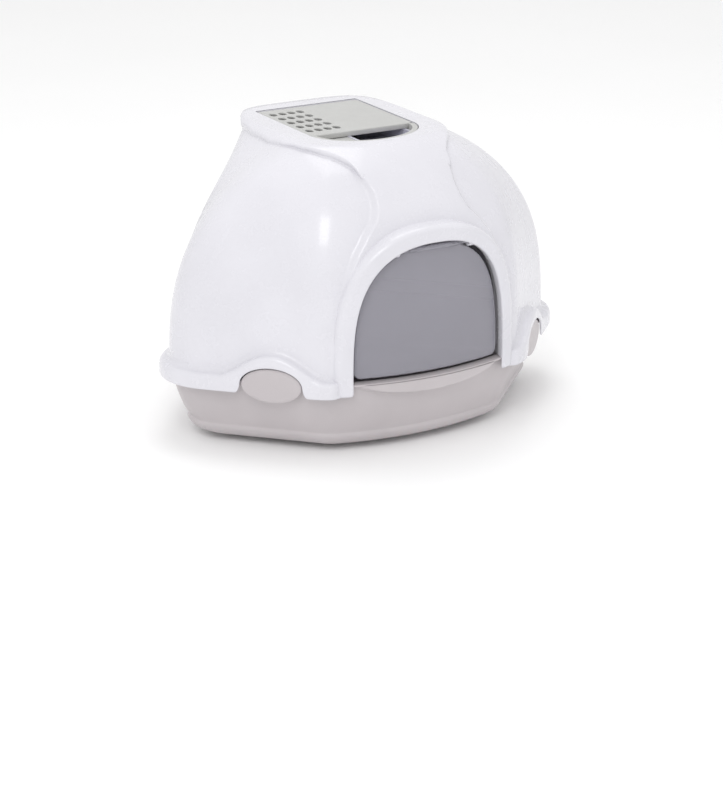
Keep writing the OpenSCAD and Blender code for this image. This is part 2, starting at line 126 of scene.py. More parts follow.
def dome(u, t, off, up):
    """Dome surface: each foot point slides towards the crown's squared oval by a superellipse
    of the height fraction t, whose power grows from the rear to the front."""
    p = foot(u, off)
    a = np.arctan2(p[..., 1] - CENTRE_Y, p[..., 0])
    cx = (112 + off) * np.sign(np.cos(a)) * np.abs(np.cos(a)) ** 0.45
    cy = CENTRE_Y + (134 + off) * np.sign(np.sin(a)) * np.abs(np.sin(a)) ** 0.45
    s = np.maximum(0, 1 - np.clip(t, 0, 1) ** (2.65 - 1.7 * np.sin(a))) ** (1 / 1.2)
    return np.stack([cx + (p[..., 0] - cx) * s, cy + (p[..., 1] - cy) * s,
                     BASE_Z + (CROWN_Z - BASE_Z + up) * t], -1)


def smooth(x):
    """Cubic step from 0 to 1 with level ends."""
    x = np.clip(x, 0, 1)
    return x * x * (3 - 2 * x)


def door_half(z, grow):
    """Half width of the door's outline, grown outwards, at height z: a superellipse arch."""
    f = np.clip((z - SILL_Z) / (DOOR_H + grow), 0, 1)
    return (DOOR_W / 2 + grow) * np.maximum(0, 1 - f ** 3.2) ** (1 / 2.4)


def face_y(x, reach):
    """Distance back of a sheet that follows the door's curved face at the given reach."""
    return FACE_MID - np.sqrt((FACE_MID + reach) ** 2 - x * x)


def seat_outline(grow, count=240):
    """Closed outline of the lid's seat, a rectangle with an elliptical front, as evenly spaced
    points from the front round the right side, with small rounded rear corners."""
    w, back = LID_W / 2 + 1.5 + grow, LID_BACK + 5 + grow
    r = 4 + grow
    a = np.radians(np.linspace(0, 90, 200))
    bulge = ARC_REACH + LID_FRONT + 1.5 + grow
    front = np.column_stack([w * np.sin(a), LID_FRONT - bulge * np.cos(a)])
    corner = arc(w - r, back - r, r, 0, 90, 12)
    half = np.vstack([front, corner, [[0, back]]])
    s = along(half)
    even = np.linspace(0, s[-1], count)
    return np.column_stack([np.interp(even, s, half[:, 0]), np.interp(even, s, half[:, 1])])


# ---------------------------------------------------------------- mesh helpers

def grid(points, wrap_rows=False, wrap_cols=False):
    """Vertices and quads of a surface given as a rows by columns array of points."""
    r, c = points.shape[:2]
    i = np.arange(r if wrap_rows else r - 1)[:, None]
    j = np.arange(c if wrap_cols else c - 1)[None, :]
    a, b = i * c + j, i * c + (j + 1) % c
    d, e = ((i + 1) % r) * c + j, ((i + 1) % r) * c + (j + 1) % c
    return points.reshape(-1, 3), np.stack([a, b, e, d], -1).reshape(-1, 4)


def facing(part, centre, inward=False):
    """The same part with its quads turned to look away from a point, or towards it."""
    verts, quads = part
    p = verts[quads]
    normal = np.cross(p[:, 2] - p[:, 0], p[:, 3] - p[:, 1])
    side = (normal * (p.mean(1) - np.asarray(centre))).sum()
    return (verts, quads[:, ::-1]) if (side < 0) != inward else part


def without(part, mask):
    """The part without the quads whose middle is inside the mask function."""
    verts, quads = part
    return verts, quads[~mask(verts[quads].mean(1))]


def mirrored(part):
    """The part's mirror image across the plane x = 0, with its faces turned to match."""
    verts, quads = part
    return verts * [-1, 1, 1], quads[:, ::-1]


def make(name, parts, body, material, angle=40, merge=0.01, recalc=False):
    """One smooth mesh object from parts given in millimetres about the square's centre. It is
    shifted to the row frame and to metres, its doubles merge, and edges over the angle are
    sharp."""
    verts, quads, start = [], [], 0
    for v, q in parts:
        verts.append(v)
        quads.append(q + start)
        start += len(v)
    v = (np.vstack(verts) - [0, MID_Y, 0]) * MM
    q = np.vstack(quads)
    mesh = bpy.data.meshes.new(name)
    mesh.vertices.add(len(v))
    mesh.vertices.foreach_set("co", v.astype(np.float32).ravel())
    mesh.loops.add(q.size)
    mesh.loops.foreach_set("vertex_index", q.astype(np.int32).ravel())
    mesh.polygons.add(len(q))
    mesh.polygons.foreach_set("loop_start", np.arange(0, q.size, 4, dtype=np.int32))
    mesh.update(calc_edges=True)
    bm = bmesh.new()
    bm.from_mesh(mesh)
    bmesh.ops.remove_doubles(bm, verts=bm.verts, dist=merge * MM)
    bmesh.ops.dissolve_degenerate(bm, edges=bm.edges, dist=1e-6)
    if recalc:
        bmesh.ops.recalc_face_normals(bm, faces=bm.faces)
    loose = [x for x in bm.verts if not x.link_faces]
    bmesh.ops.delete(bm, geom=loose, context="VERTS")
    bm.to_mesh(mesh)
    bm.free()
    mesh.shade_smooth()
    mesh.set_sharp_from_angle(angle=np.radians(angle))
    obj = bpy.data.objects.new(name, mesh)
    bpy.context.scene.collection.objects.link(obj)
    obj.data.materials.append(material)
    if body:
        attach(obj, body)
    return obj


def sweep(path, normal, profile, height=None):
    """Profile carried along a level path: point = path + normal times the profile's outward
    distance, at the profile's height, plus an own height for each station if given."""
    out, z = profile[:, 0], profile[:, 1]
    xy = path[:, None, :] + normal[:, None, :] * out[None, :, None]
    zz = np.broadcast_to(z[None, :], xy.shape[:2])
    if height is not None:
        zz = zz + height[:, None]
    return np.concatenate([xy, zz[..., None]], -1)


def path_normals(path, closed=False):
    """Outward unit normals of a level path that runs anticlockwise: its tangent turned right."""
    if closed:
        d = np.roll(path, -1, 0) - np.roll(path, 1, 0)
    else:
        d = np.gradient(path, axis=0)
    d = d / np.linalg.norm(d, axis=1, keepdims=True)
    return np.column_stack([d[:, 1], -d[:, 0]])


def rounded_slab(outline, z0, z1, r, steps=4):
    """Solid with flat faces and rounded edges over a closed outline: rings of the outline drawn
    in by a quarter circle at both faces, closed to the middle of each face."""
    n = path_normals(outline, closed=True)
    a = np.linspace(0, np.pi / 2, steps + 1)
    inset = np.concatenate([r * (1 - np.sin(a)), (r * (1 - np.sin(a)))[::-1]])
    z = np.concatenate([z0 + r * (1 - np.cos(a)), (z1 - r * (1 - np.cos(a)))[::-1]])
    rings = sweep(outline, n, np.column_stack([-inset, z])).transpose(1, 0, 2)
    middle = outline.mean(0)
    low = np.concatenate([np.broadcast_to(middle, outline.shape),
                          np.full((len(outline), 1), z0)], 1)
    high = low.copy()
    high[:, 2] = z1
    half0 = (low + rings[0]) / 2
    half1 = (high + rings[-1]) / 2
    return grid(np.concatenate([[low], [half0], rings, [half1], [high]]), wrap_cols=True)


def rod(p0, p1, radius, bevel=0.4, sides=40):
    """Round bar from p0 to p1 with a small bevel: rings of circle points about the axis."""
    p0, p1 = np.asarray(p0, float), np.asarray(p1, float)
    axis = (p1 - p0) / np.linalg.norm(p1 - p0)
    side = np.cross(axis, [0, 0, 1.0] if abs(axis[2]) < 0.9 else [1.0, 0, 0])
    side /= np.linalg.norm(side)
    up = np.cross(axis, side)
    a = np.linspace(0, 2 * np.pi, sides, endpoint=False)
    ring = np.cos(a)[:, None] * side + np.sin(a)[:, None] * up
    length = np.linalg.norm(p1 - p0)
    st = np.array([0, 0, bevel, length - bevel, length, length])
    rr = np.array([0, radius - bevel, radius, radius, radius - bevel, 0])
    return grid(p0 + st[:, None, None] * axis + rr[:, None, None] * ring[None], wrap_cols=True)


def turned(part, side):
    """A part drawn for a wall across the front, laid on the left (-1) or right (1) front wall:
    moved along the wall, turned by 45 degrees and mirrored for the right."""
    v, q = part
    v = v - [CLIP_ALONG, 0, 0]
    c = np.cos(np.radians(-45))
    s = np.sin(np.radians(-45))
    v = np.column_stack([v[:, 0] * c - v[:, 1] * s, v[:, 0] * s + v[:, 1] * c, v[:, 2]])
    return (v * [-1, 1, 1], q[:, ::-1]) if side > 0 else (v, q)


# ---------------------------------------------------------------- materials

def linear(hex_colour):
    """Linear RGBA of an sRGB hex value."""
    c = np.array([int(hex_colour[i:i + 2], 16) for i in (1, 3, 5)]) / 255
    c = np.where(c <= 0.04045, c / 12.92, ((c + 0.055) / 1.055) ** 2.4)
    return (*map(float, c), 1.0)


def node(tree, kind, inputs=None, links=None, **settings):
    """Adds a node, sets its properties and socket values, and links outputs into its sockets."""
    n = tree.nodes.new(kind)
    for key, value in settings.items():
        setattr(n, key, value)
    for key, value in (inputs or {}).items():
        n.inputs[key].default_value = value
    for key, (source, out) in (links or {}).items():
        tree.links.new(source.outputs[out], n.inputs[key])
    return n


def blank(name):
    """An empty node material with its output, and its link to the object coordinates."""
    mat = bpy.data.materials.new(name)
    mat.use_nodes = True
    tree = mat.node_tree
    tree.nodes.clear()
    out = node(tree, "ShaderNodeOutputMaterial")
    return mat, tree, out, (node(tree, "ShaderNodeTexCoord"), "Object")


def noise(tree, vector, scale, detail, rough=0.5):
    """A noise texture on the vectors of a link."""
    return node(tree, "ShaderNodeTexNoise",
                {"Scale": scale, "Detail": detail, "Roughness": rough}, {"Vector": vector})


def stretched(tree, vector, *scale):
    """The link to the vectors of a link, scaled by three factors."""
    return node(tree, "ShaderNodeMapping", {"Scale": scale}, {"Vector": vector}), "Vector"


def two_tone(tree, low, high, factor):
    """The link to a mix of two hex colours by the factor of a link."""
    return node(tree, "ShaderNodeMix", {6: linear(low), 7: linear(high)}, {0: factor},
                data_type="RGBA"), 2


def ranged(tree, value, from_min, from_max, to_min, to_max):
    """The link to the value of a link, carried from one range to another."""
    return node(tree, "ShaderNodeMapRange",
                {"From Min": from_min, "From Max": from_max, "To Min": to_min, "To Max": to_max},
                {"Value": value}), "Result"


def bumped(tree, height, strength, distance, **below):
    """The link to the normals of a bump by the height of a link, on another bump if given."""
    return node(tree, "ShaderNodeBump", {"Strength": strength, "Distance": distance},
                {"Height": height, **below}), "Normal"


def surfaced(mat, tree, out, values, links):
    """The material with a Principled shader of these values and links as its surface."""
    shader = node(tree, "ShaderNodeBsdfPrincipled", values, links)
    tree.links.new(shader.outputs["BSDF"], out.inputs["Surface"])
    return mat


def moulded(name, colour, deep, rough, grain_mm, grain_depth, coat=0.0):
    """Injection moulded polypropylene. Colour drifts a little over a hand's width, the spark
    eroded grain is a fine noise bump, and the roughness is uneven where hands and cloths rub."""
    mat, tree, out, co = blank(name)
    drift = ranged(tree, (noise(tree, co, 9.0, 3.0), "Fac"), 0.35, 0.65, 0.0, 1.0)
    rub = (noise(tree, co, 38.0, 5.0, 0.6), "Fac")
    wave = bumped(tree, (noise(tree, co, 14.0, 1.0), "Fac"), 0.06, 0.0012)
    grain = (noise(tree, co, 1000.0 / grain_mm, 2.0), "Fac")
    return surfaced(mat, tree, out, {"IOR": 1.49, "Coat Weight": coat, "Coat Roughness": 0.08},
                    {"Base Color": two_tone(tree, deep, colour, drift),
                     "Roughness": ranged(tree, rub, 0.3, 0.7, rough * 0.86, rough * 1.16),
                     "Normal": bumped(tree, grain, grain_depth, 0.0002, Normal=wave)})


def clear_plastic(name, colour, deep, alpha, rough, haze):
    """Moulded clear polymer with a tint: part of the light passes, the rest scatters in the
    tint. Fine polish scratches and a haze towards handled places vary its roughness."""
    mat, tree, out, co = blank(name)
    drift = (noise(tree, co, 7.0, 2.0), "Fac")
    scratch = (noise(tree, stretched(tree, co, 30.0, 30.0, 420.0), 3.0, 4.0), "Fac")
    return surfaced(mat, tree, out,
                    {"IOR": 1.58, "Alpha": alpha, "Coat Weight": 0.6, "Coat Roughness": 0.04},
                    {"Base Color": two_tone(tree, deep, colour, drift),
                     "Roughness": ranged(tree, scratch, 0.3, 0.75, rough, rough + haze),
                     "Normal": bumped(tree, drift, 0.05, 0.0004)})


def charcoal_felt_with_painted_shade(name):
    """Needled felt loaded with activated charcoal: near black, partly its own colour and partly
    darkened further as painted shade for the deep vents, with grey fibres about half a millimetre
    thick and a soft sheen."""
    mat, tree, out, co = blank(name)
    fibre = (noise(tree, co, 900.0, 5.0, 0.7), "Fac")
    clump = node(tree, "ShaderNodeTexVoronoi", {"Scale": 260.0}, {"Vector": co})
    both = node(tree, "ShaderNodeMath", links={0: fibre, 1: (clump, "Distance")},
                operation="MULTIPLY")
    return surfaced(mat, tree, out,
                    {"Roughness": 0.95, "Sheen Weight": 0.4, "Sheen Roughness": 0.5},
                    # near black colours: partly the charcoal's own colour, partly painted shade for
                    # the deep vents above the pad
                    {"Base Color": two_tone(tree, "#121113", "#3a383c", (both, 0)),
                     "Normal": bumped(tree, fibre, 0.7, 0.0006)})


def drawn_steel(name):
    """Drawn stainless wire: bright grey metal with fine lines along its length."""
    mat, tree, out, co = blank(name)
    lines = (noise(tree, stretched(tree, co, 20.0, 900.0, 900.0), 1.0, 3.0), "Fac")
    return surfaced(mat, tree, out, {"Metallic": 1.0},
                    {"Base Color": two_tone(tree, "#a9abb0", "#d2d3d6", lines),
                     "Roughness": ranged(tree, lines, 0.0, 1.0, 0.22, 0.4)})


def to_hex(colour):
    """The sRGB hex value of a colour property, which is kept as linear RGB."""
    c = np.array(colour[:3])
    c = np.where(c <= 0.0031308, c * 12.92, 1.055 * c ** (1 / 2.4) - 0.055)
    return "#" + "".join(f"{int(round(255 * x)):02x}" for x in np.clip(c, 0, 1))


def shade(hex_colour, factor):
    """The hex colour darkened by a factor, for the deeper tone of the same plastic."""
    c = [int(hex_colour[i:i + 2], 16) for i in (1, 3, 5)]
    return "#" + "".join(f"{int(x * factor):02x}" for x in c)


# Colour property, shade of the deeper tone, roughness, grain size, grain depth and coat.
MOULDED = {"polished polypropylene, white": ("hood_colour", 0.985, 0.26, 1.4, 0.01, 0.25),
           "satin polypropylene, warm grey": ("pan_colour", 0.97, 0.42, 0.8, 0.16),
           "satin polypropylene, clip grey": ("clip_colour", 0.98, 0.36, 0.8, 0.12),
           "satin polypropylene, lid grey": ("lid_colour", 0.98, 0.38, 0.8, 0.12)}


def finish_material(kind):
    """The material of one finish, made once from the colours in the scene's properties."""
    if kind in bpy.data.materials:
        return bpy.data.materials[kind]
    look = bpy.context.scene.litter_finish
    if kind in MOULDED:
        key, deep, *grain = MOULDED[kind]
        c = to_hex(getattr(look, key))
        return moulded(kind, c, shade(c, deep), *grain)
    if kind == "smoked polycarbonate":
        c = to_hex(look.flap_colour)
        return clear_plastic(kind, c, shade(c, 0.94), 0.46, 0.07, 0.05)
    if kind == "frosted polypropylene":
        return clear_plastic(kind, "#e3e2ee", "#d4d3e2", 0.8, 0.28, 0.1)
    if kind == "charcoal felt":
        return charcoal_felt_with_painted_shade(kind)
    return drawn_steel(kind)


# ---------------------------------------------------------------- hood surfaces

def seam_gap(p):
    """How far a point lies inside the band's seam on the front and crown: the larger of the
    seam's half widths, by height and by distance back, less the point's own half width."""
    by_height = np.interp(p[..., 2], SEAM_FRONT[:, 1], SEAM_FRONT[:, 0])
    by_depth = np.interp(p[..., 1], SEAM_TOP[:9, 1], SEAM_TOP[:9, 0])
    return np.maximum(by_height, by_depth) - np.abs(p[..., 0])


def inside_top(p):
    """Whether a point lies inside the seam's closed outline seen from above, by crossing count."""
    loop = np.vstack([SEAM_TOP, SEAM_TOP[::-1] * [-1, 1]])
    a, b = loop, np.roll(loop, -1, 0)
    x, y = p[..., 0, None], p[..., 1, None]
    up = (a[:, 1] > y) != (b[:, 1] > y)
    dy = np.where(b[:, 1] == a[:, 1], 1, b[:, 1] - a[:, 1])
    xi = a[:, 0] + (y - a[:, 1]) * (b[:, 0] - a[:, 0]) / dy
    return ((up & (x < xi)).sum(-1) % 2) == 1


def bisect(test, low, high, steps=36):
    """Where a test turns from true at low to false at high, for whole arrays, by halving."""
    for _ in range(steps):
        mid = (low + high) / 2
        hit = test(mid)
        low, high = np.where(hit, mid, low), np.where(hit, high, mid)
    return (low + high) / 2


# across the seam: distance from it, and share of the step's height there
STEP_REACH = 9.0
STEP_AT = STEP_REACH * np.array([-1, -0.86, -0.72, -0.58, -0.44, -0.3, -0.12,
                                 0.12, 0.32, 0.52, 0.7, 0.85, 1])
STEP_RISE = np.array([1.0, 0.995, 0.965, 0.905, 0.81, 0.69, 0.52,
                      0.31, 0.155, 0.06, 0.015, 0.0, 0.0])


def crown_angle(p):
    """Direction of points about the crown's middle, seen from above: 0 at the front, pi behind."""
    return np.arctan2(p[:, 0], -(p[:, 1] - CENTRE_Y))


def seat_beside(p, grow, count):
    """The points of the seat's grown outline in the directions of the given points."""
    seat = seat_outline(grow, count)
    at = crown_angle(seat)
    at[-1] = np.pi
    angle = crown_angle(p)
    return np.stack([np.interp(angle, at, seat[:, 0]), np.interp(angle, at, seat[:, 1])], -1)


def dome_grid(cols_front, cols_rear, rows_low, rows_high, cap_rows):
    """The half dome as one grid whose lines follow the band's seam. A column runs up the front
    seam and a row runs round the crown's seam. Beside them the grid is dense, and across it the
    surface steps from the side panel out to the band by a rounded rise."""
    # the corner where the front seam turns into the crown's seam
    t_try = np.linspace(0.5, 0.999, 900)
    u_try = bisect(lambda u: seam_gap(dome(u, t_try, BAND_STEP, BAND_UP)) > 0,
                   np.zeros_like(t_try), np.full_like(t_try, 0.5))
    corner = np.argmin(np.abs(dome(u_try, t_try, BAND_STEP, BAND_UP)[..., 1] + 139))
    t_c, u_c = t_try[corner], u_try[corner]

    def seam_u(t):
        """Fraction along the outline of the front seam at height fraction t."""
        low = bisect(lambda u: seam_gap(dome(u, t, BAND_STEP, BAND_UP)) > 0,
                     np.zeros_like(t), np.full_like(t, 0.5))
        return np.where(t < t_c, low, u_c)

    def column_u(t, f, d):
        """Outline fraction of a column: share f of the way to or past the seam, d mm beside it."""
        s = seam_u(t)
        e = 1e-4
        scale = np.linalg.norm(dome(s + e, t, 0, 0) - dome(s - e, t, 0, 0), axis=-1) / (2 * e)
        near = STEP_REACH / np.maximum(scale, 60)
        at = s + d / np.maximum(scale, 60)
        front = f * (s - near)
        rear = (s + near) + (f - 1) * (1 - s - near)
        return np.where(d != 0, at, np.where(f <= 1, front, rear))

    f = np.concatenate([np.linspace(0, 1, cols_front, endpoint=False), np.ones(len(STEP_AT)),
                        1 + np.linspace(0, 1, cols_rear)[1:]])
    d = np.concatenate([np.zeros(cols_front), STEP_AT, np.zeros(cols_rear - 1)])
    rise_c = np.concatenate([np.ones(cols_front), STEP_RISE, np.zeros(cols_rear - 1)])
    top_u = column_u(np.full_like(f, 0.999), f, d)
    # height fraction of the seam in each column above the corner
    level = bisect(lambda t: ~inside_top(dome(top_u, t, BAND_STEP, BAND_UP)),
                   np.full_like(top_u, t_c * 0.9), np.full_like(top_u, 0.9999))
    level = np.where(top_u <= u_c + 1e-9, t_c, np.maximum(level, t_c))
    level = np.where(f <= 1, np.where(d > 0, level, t_c), level)
    e = 1e-4
    climb = dome(top_u, level + e, 0, 0) - dome(top_u, level - e, 0, 0)
    scale = np.linalg.norm(climb, axis=-1) / (2 * e)
    near = np.minimum(STEP_REACH / scale, (1 - level) * 0.55)
    t0 = (118.0 - BASE_Z) / (CROWN_Z - BASE_Z)
    g = np.concatenate([np.linspace(0, 1, rows_low, endpoint=False), np.ones(len(STEP_AT)),
                        1 + np.linspace(0, 1, rows_high)[1:]])
    h = np.concatenate([np.zeros(rows_low), STEP_AT, np.zeros(rows_high - 1)])
    rise_r = np.concatenate([np.zeros(rows_low), STEP_RISE[::-1], np.ones(rows_high - 1)])
    g, h = g[:, None], h[:, None]
    low = t0 + (level - near - t0) * (1 - (1 - np.minimum(g, 1)) ** 1.25)
    mid = level + h / STEP_REACH * near
    high = (level + near) + (1 - level - near) * (1 - (1 - np.clip(g - 1, 0, 1)) ** 1.7)
    t = np.where(h != 0, mid, np.where(g < 1, low, high))
    u = column_u(t, np.broadcast_to(f, t.shape), np.broadcast_to(d, t.shape))
    u = np.clip(u, 0, 1)
    rise = np.maximum(rise_c[None, :], rise_r[:, None])[..., None]
    side, band = dome(u, t, 0, 0), dome(u, t, BAND_STEP, BAND_UP)
    surface = side + (band - side) * rise
    # level cap from the crown's outline in to the seat
    ring = surface[-1]
    inner = seat_beside(ring, -0.5, 600)
    share = np.linspace(0, 1, cap_rows + 1)[1:, None, None]
    cap = np.concatenate([ring[None, :, :2] + (inner - ring[:, :2])[None] * share,
                          np.broadcast_to(ring[:, 2:], (cap_rows,) + ring[:, 2:].shape)], -1)
    return np.concatenate([surface, cap])


def in_door(grow):
    """Mask of points that lie inside the door's grown outline, on the door side."""
    def mask(p):
        inside = np.abs(p[:, 0]) < door_half(p[:, 2], grow)
        return inside & (p[:, 1] < -80) & (p[:, 2] < SILL_Z + DOOR_H + grow)
    return mask


def hood_inside():
    """The dome's inner skin: the same surface three millimetres in, seen from inside, open at
    the door and under the lid."""
    t0 = 0.05
    t = (t0 + (1 - t0) * (1 - (1 - np.linspace(0, 1, 56)) ** 1.4))[:, None]
    u = np.linspace(0, 1, 150)[None, :]
    u, t = np.broadcast_arrays(u, t)
    p = dome(u, t, -3, -3)
    inner = np.column_stack([seat_beside(p[-1], -8, 400), p[-1, :, 2]])
    part = without(grid(np.concatenate([p, inner[None]])), in_door(8))
    return facing(part, (100, 60, 200), inward=True)


def door_path(grow, foot_z, count):
    """The door's outline in front view, from the foot of one leg over the arch: x, z and the
    outward normal at evenly spaced points."""
    z = SILL_Z + (DOOR_H + grow) * np.sin(np.linspace(0, np.pi / 2, 900))
    half = np.column_stack([door_half(z, grow), z])
    half[-1, 0] = 0
    half = np.vstack([[half[0, 0], foot_z], half])
    loop = np.vstack([half, half[-2::-1] * [-1, 1]])
    s = along(loop)
    even = np.linspace(0, s[-1], count)
    p = np.column_stack([np.interp(even, s, loop[:, 0]), np.interp(even, s, loop[:, 1])])
    d = np.gradient(p, axis=0)
    d /= np.linalg.norm(d, axis=1, keepdims=True)
    for _ in range(3):
        d[1:-1] = (d[:-2] + 2 * d[1:-1] + d[2:]) / 4
        d /= np.linalg.norm(d, axis=1, keepdims=True)
    return p, np.column_stack([d[:, 1], -d[:, 0]])


def door_moulding(width, roll):
    """Rolled moulding round the door: a rounded profile carried along the door's outline on
    the curved face. The profile runs from behind the opening's edge, round a small inner
    radius, over a softly crowned front and round a larger outer radius back into the dome."""
    p, n = door_path(0, 97.8, 420)
    a = np.linspace(0, np.pi / 2, 9)
    r0, r1 = 0.45 * roll, roll
    inner = np.column_stack([r0 * (1 - np.cos(a)), FACE_OUT - r0 * (1 - np.sin(a))])
    outer = np.column_stack([width - r1 * (1 - np.sin(a)), FACE_OUT - r1 * (1 - np.cos(a))])
    crowned = np.column_stack([np.linspace(r0, width - r1, 6)[1:-1], np.full(4, FACE_OUT)])
    prof = np.vstack([[[3.6, 200], [3.2, 207], [1.6, 209], [0.2, 210.5], [0.0, 214]],
                      inner, crowned, outer, [[width, 206], [width, 196], [width - 1, 182]]])
    # the legs' feet round in over their last few millimetres
    s = along(p)
    end = np.minimum(s, s[-1] - s)
    tuck = 1 - np.sqrt(np.clip(1 - (1 - np.clip(end / 5.0, 0, 1)) ** 2, 0, 1))
    reach = prof[None, :, 1] - tuck[:, None] * 2.2 * (prof[None, :, 1] > 207)
    # below the pan's flange the legs are a skin that hangs in front of the pan
    reach = np.maximum(reach, np.where(p[:, 1] < 115.8, 222.4, 0)[:, None])
    x = prof[None, :, 0]
    out = x + tuck[:, None] * (3 * (x < 5) - 3 * (x > 18))
    x = p[:, None, 0] + n[:, None, 0] * out
    z = p[:, None, 1] + n[:, None, 1] * out
    pts = np.stack([x, face_y(x, reach), z], -1)
    caps = []
    for row in (0, -1):
        ring = pts[row]
        mid = np.broadcast_to(ring.mean(0), ring.shape)
        caps.append(facing(grid(np.stack([ring, mid])), (0, -200, 200)))
    return [facing(grid(pts), (0, -100, 200))] + caps


def rim_edges(d):
    """Lower and upper edge of the rolled rim at distance d along from a clip's middle. Over the
    clip the lower edge follows its oval, a gap away, and the upper edge rises in a smooth hump.
    Returns the lower edge's own distance along, its height, and the upper edge's height."""
    w, h = CLIP_W / 2 + 1.5, CLIP_H / 2 + 1.5
    deep = h + 8          # the lower half is deeper, which leaves room for the clip to swing
    start = np.degrees(np.arcsin((RIM_LOW - CLIP_Z) / deep))
    reach = 78.0
    f = np.clip(1 - np.abs(d) / reach, 0, 1)                    # 0 far away, 1 over the clip
    g = smooth(f / 0.42) * 0.12 + 0.88 * np.clip((f - 0.18) / 0.82, 0, 1)
    ang = np.radians(start + (90 - start) * np.clip(g * 1.04 - 0.04, 0, 1))
    blend = np.where(f > 0, smooth((reach - np.abs(d)) / 26), 0)
    low_x = np.abs(d) + (w * np.cos(ang) - np.abs(d)) * blend
    low_h = np.where(f > 0, CLIP_Z + np.where(ang < 0, deep, h) * np.sin(ang), RIM_LOW)
    top_h = RIM_TOP + 35.1 * (1 - np.clip(np.abs(d) / 80, 0, 1) ** 2) ** 1.7
    return np.sign(d) * low_x, low_h, top_h


# The rim's profile: share of the way from its lower edge to its upper, extra height, and
# distance out from the dome. It runs from the inner skin over the channel's ceiling, under the
# lip, up the rounded face and into the dome.
RIM_PROFILE = np.array([
    [1.0, 1.0, -3.0], [0.875, 0, -2.4], [0.875, 0, 4.0], [0.875, 0, 9.6], [0.84, 0, 11.2],
    [0.76, 0, 11.7], [0.4, 0, 11.8], [0.1, 0, 11.9], [0.02, 0, 12.3], [-0.0, 0, 12.9],
    [0.0, 0, 13.7], [0.015, 0, 14.4], [0.06, 0, 14.85], [0.14, 0, 15.0], [0.35, 0, 15.0],
    [0.55, 0, 14.9], [0.70, 0, 14.5], [0.81, 0, 13.6], [0.89, 0, 12.3], [0.95, 0, 10.4],
    [0.985, 0, 8.2], [1.0, 0, 6.0], [1.0, 0.9, 3.9], [1.0, 2.2, 2.1], [1.0, 4.0, 0.9],
    [1.0, 6.5, 0.2], [1.0, 9.0, -0.6]])


def rolled_rim():
    """Rolled rim round the hood's foot: the rim's profile between two edge lines that run along
    the plan's outline and part round each clip."""
    half = half_foot(0.0)
    s = along(half)
    n = path_normals(half)
    total = s[-1]
    # distance along to the clip's middle on the front wall
    wall = PLAN_HALF * np.sqrt(0.5) * np.array([1, -1])
    clip_point = wall + CLIP_ALONG * np.sqrt(0.5)
    s_clip = s[np.argmin(np.linalg.norm(half - clip_point, axis=1))]
    start = np.interp(138.0, half[:200, 0], s[:200])
    span = 82             # the edges leave their straight run this far from the clip's middle
    st = np.unique(np.concatenate([np.linspace(start, s_clip - span, 14),
                                   np.linspace(s_clip - span, s_clip + span, 130),
                                   np.linspace(s_clip + span, total, 150)]))
    near = np.abs(st - s_clip) < span
    lx, lz, tz = rim_edges(st - s_clip)
    low_s = np.where(near, s_clip + lx, st)
    lz, tz = np.where(near, lz, RIM_LOW), np.where(near, tz, RIM_TOP)
    share, extra, out = RIM_PROFILE.T
    ss = low_s[:, None] + (st - low_s)[:, None] * share
    zz = lz[:, None] + (tz - lz)[:, None] * share + extra
    # the end at the door's pillar sinks into it
    fade = smooth((st - start) / 16)[:, None]
    oo = np.where(out > 0, out * (0.45 + 0.55 * fade), out)
    bx, by = np.interp(ss, s, half[:, 0]), np.interp(ss, s, half[:, 1])
    nx, ny = np.interp(ss, s, n[:, 0]), np.interp(ss, s, n[:, 1])
    length = np.hypot(nx, ny)
    # above its foot the dome leans in, and the profile's inner rows follow it
    lean = dome(ss / total, np.maximum(zz - BASE_Z, 0) / (CROWN_Z - BASE_Z), 0, 0)
    follow = smooth((9 - out) / 6)
    bx, by = bx + (lean[..., 0] - bx) * follow, by + (lean[..., 1] - by) * follow
    verts, quads = grid(np.stack([bx + nx / length * oo, by + ny / length * oo, zz], -1))
    # turn the part so that its face, twelve rows before the last, looks away from the middle
    p = verts[quads[len(out) - 12::len(out) - 1]]
    normal = np.cross(p[:, 2] - p[:, 0], p[:, 3] - p[:, 1])
    way = (normal[:, :2] * p.mean(1)[:, :2]).sum()
    return (verts, quads[:, ::-1]) if way < 0 else (verts, quads)


def seat_lip():
    """Rounded lip round the lid's seat: a low bead on the crown that turns down into a wall and
    inwards to a ledge, carried round the seat's closed outline."""
    half = seat_outline(0, 260)
    loop = np.vstack([half, half[-2:0:-1] * [-1, 1]])
    n = path_normals(loop, closed=True)
    top = CROWN_Z + BAND_UP
    prof = np.array([[7.0, top - 0.5], [5.6, top - 0.12], [4.2, top - 0.02], [2.9, top - 0.03],
                     [1.7, top - 0.22], [0.8, top - 0.75], [0.25, top - 1.6], [0.0, top - 2.8],
                     [0.0, top - 9], [0.0, BEZEL_Z - 3.2], [-4, BEZEL_Z - 3.2],
                     [-10.3, BEZEL_Z - 3.2], [-10.5, BEZEL_Z - 3.6], [-10.5, BEZEL_Z - 6.2]])
    return facing(grid(sweep(loop, n, prof), wrap_rows=True), (0, 60, 390), inward=True)


# ---------------------------------------------------------------- pan surfaces

def pan_offset(z):
    """Outward offset of the pan's wall at height z: a gently curved draft down to a soft
    ledge, below which the wall tucks in and rounds over to the flat bottom."""
    tuck = LEDGE_Z - FLOOR_Z
    upper = -1 - 26 * np.clip((SILL_Z - z) / (SILL_Z - LEDGE_Z), 0, 1) ** 1.5
    lower = -24 - 34 * (1 - np.sqrt(np.clip(1 - (np.clip(LEDGE_Z - z, 0, tuck) / tuck) ** 2, 0, 1)))
    return lower + (upper - lower) * smooth((z - 27.5) / 5.5)


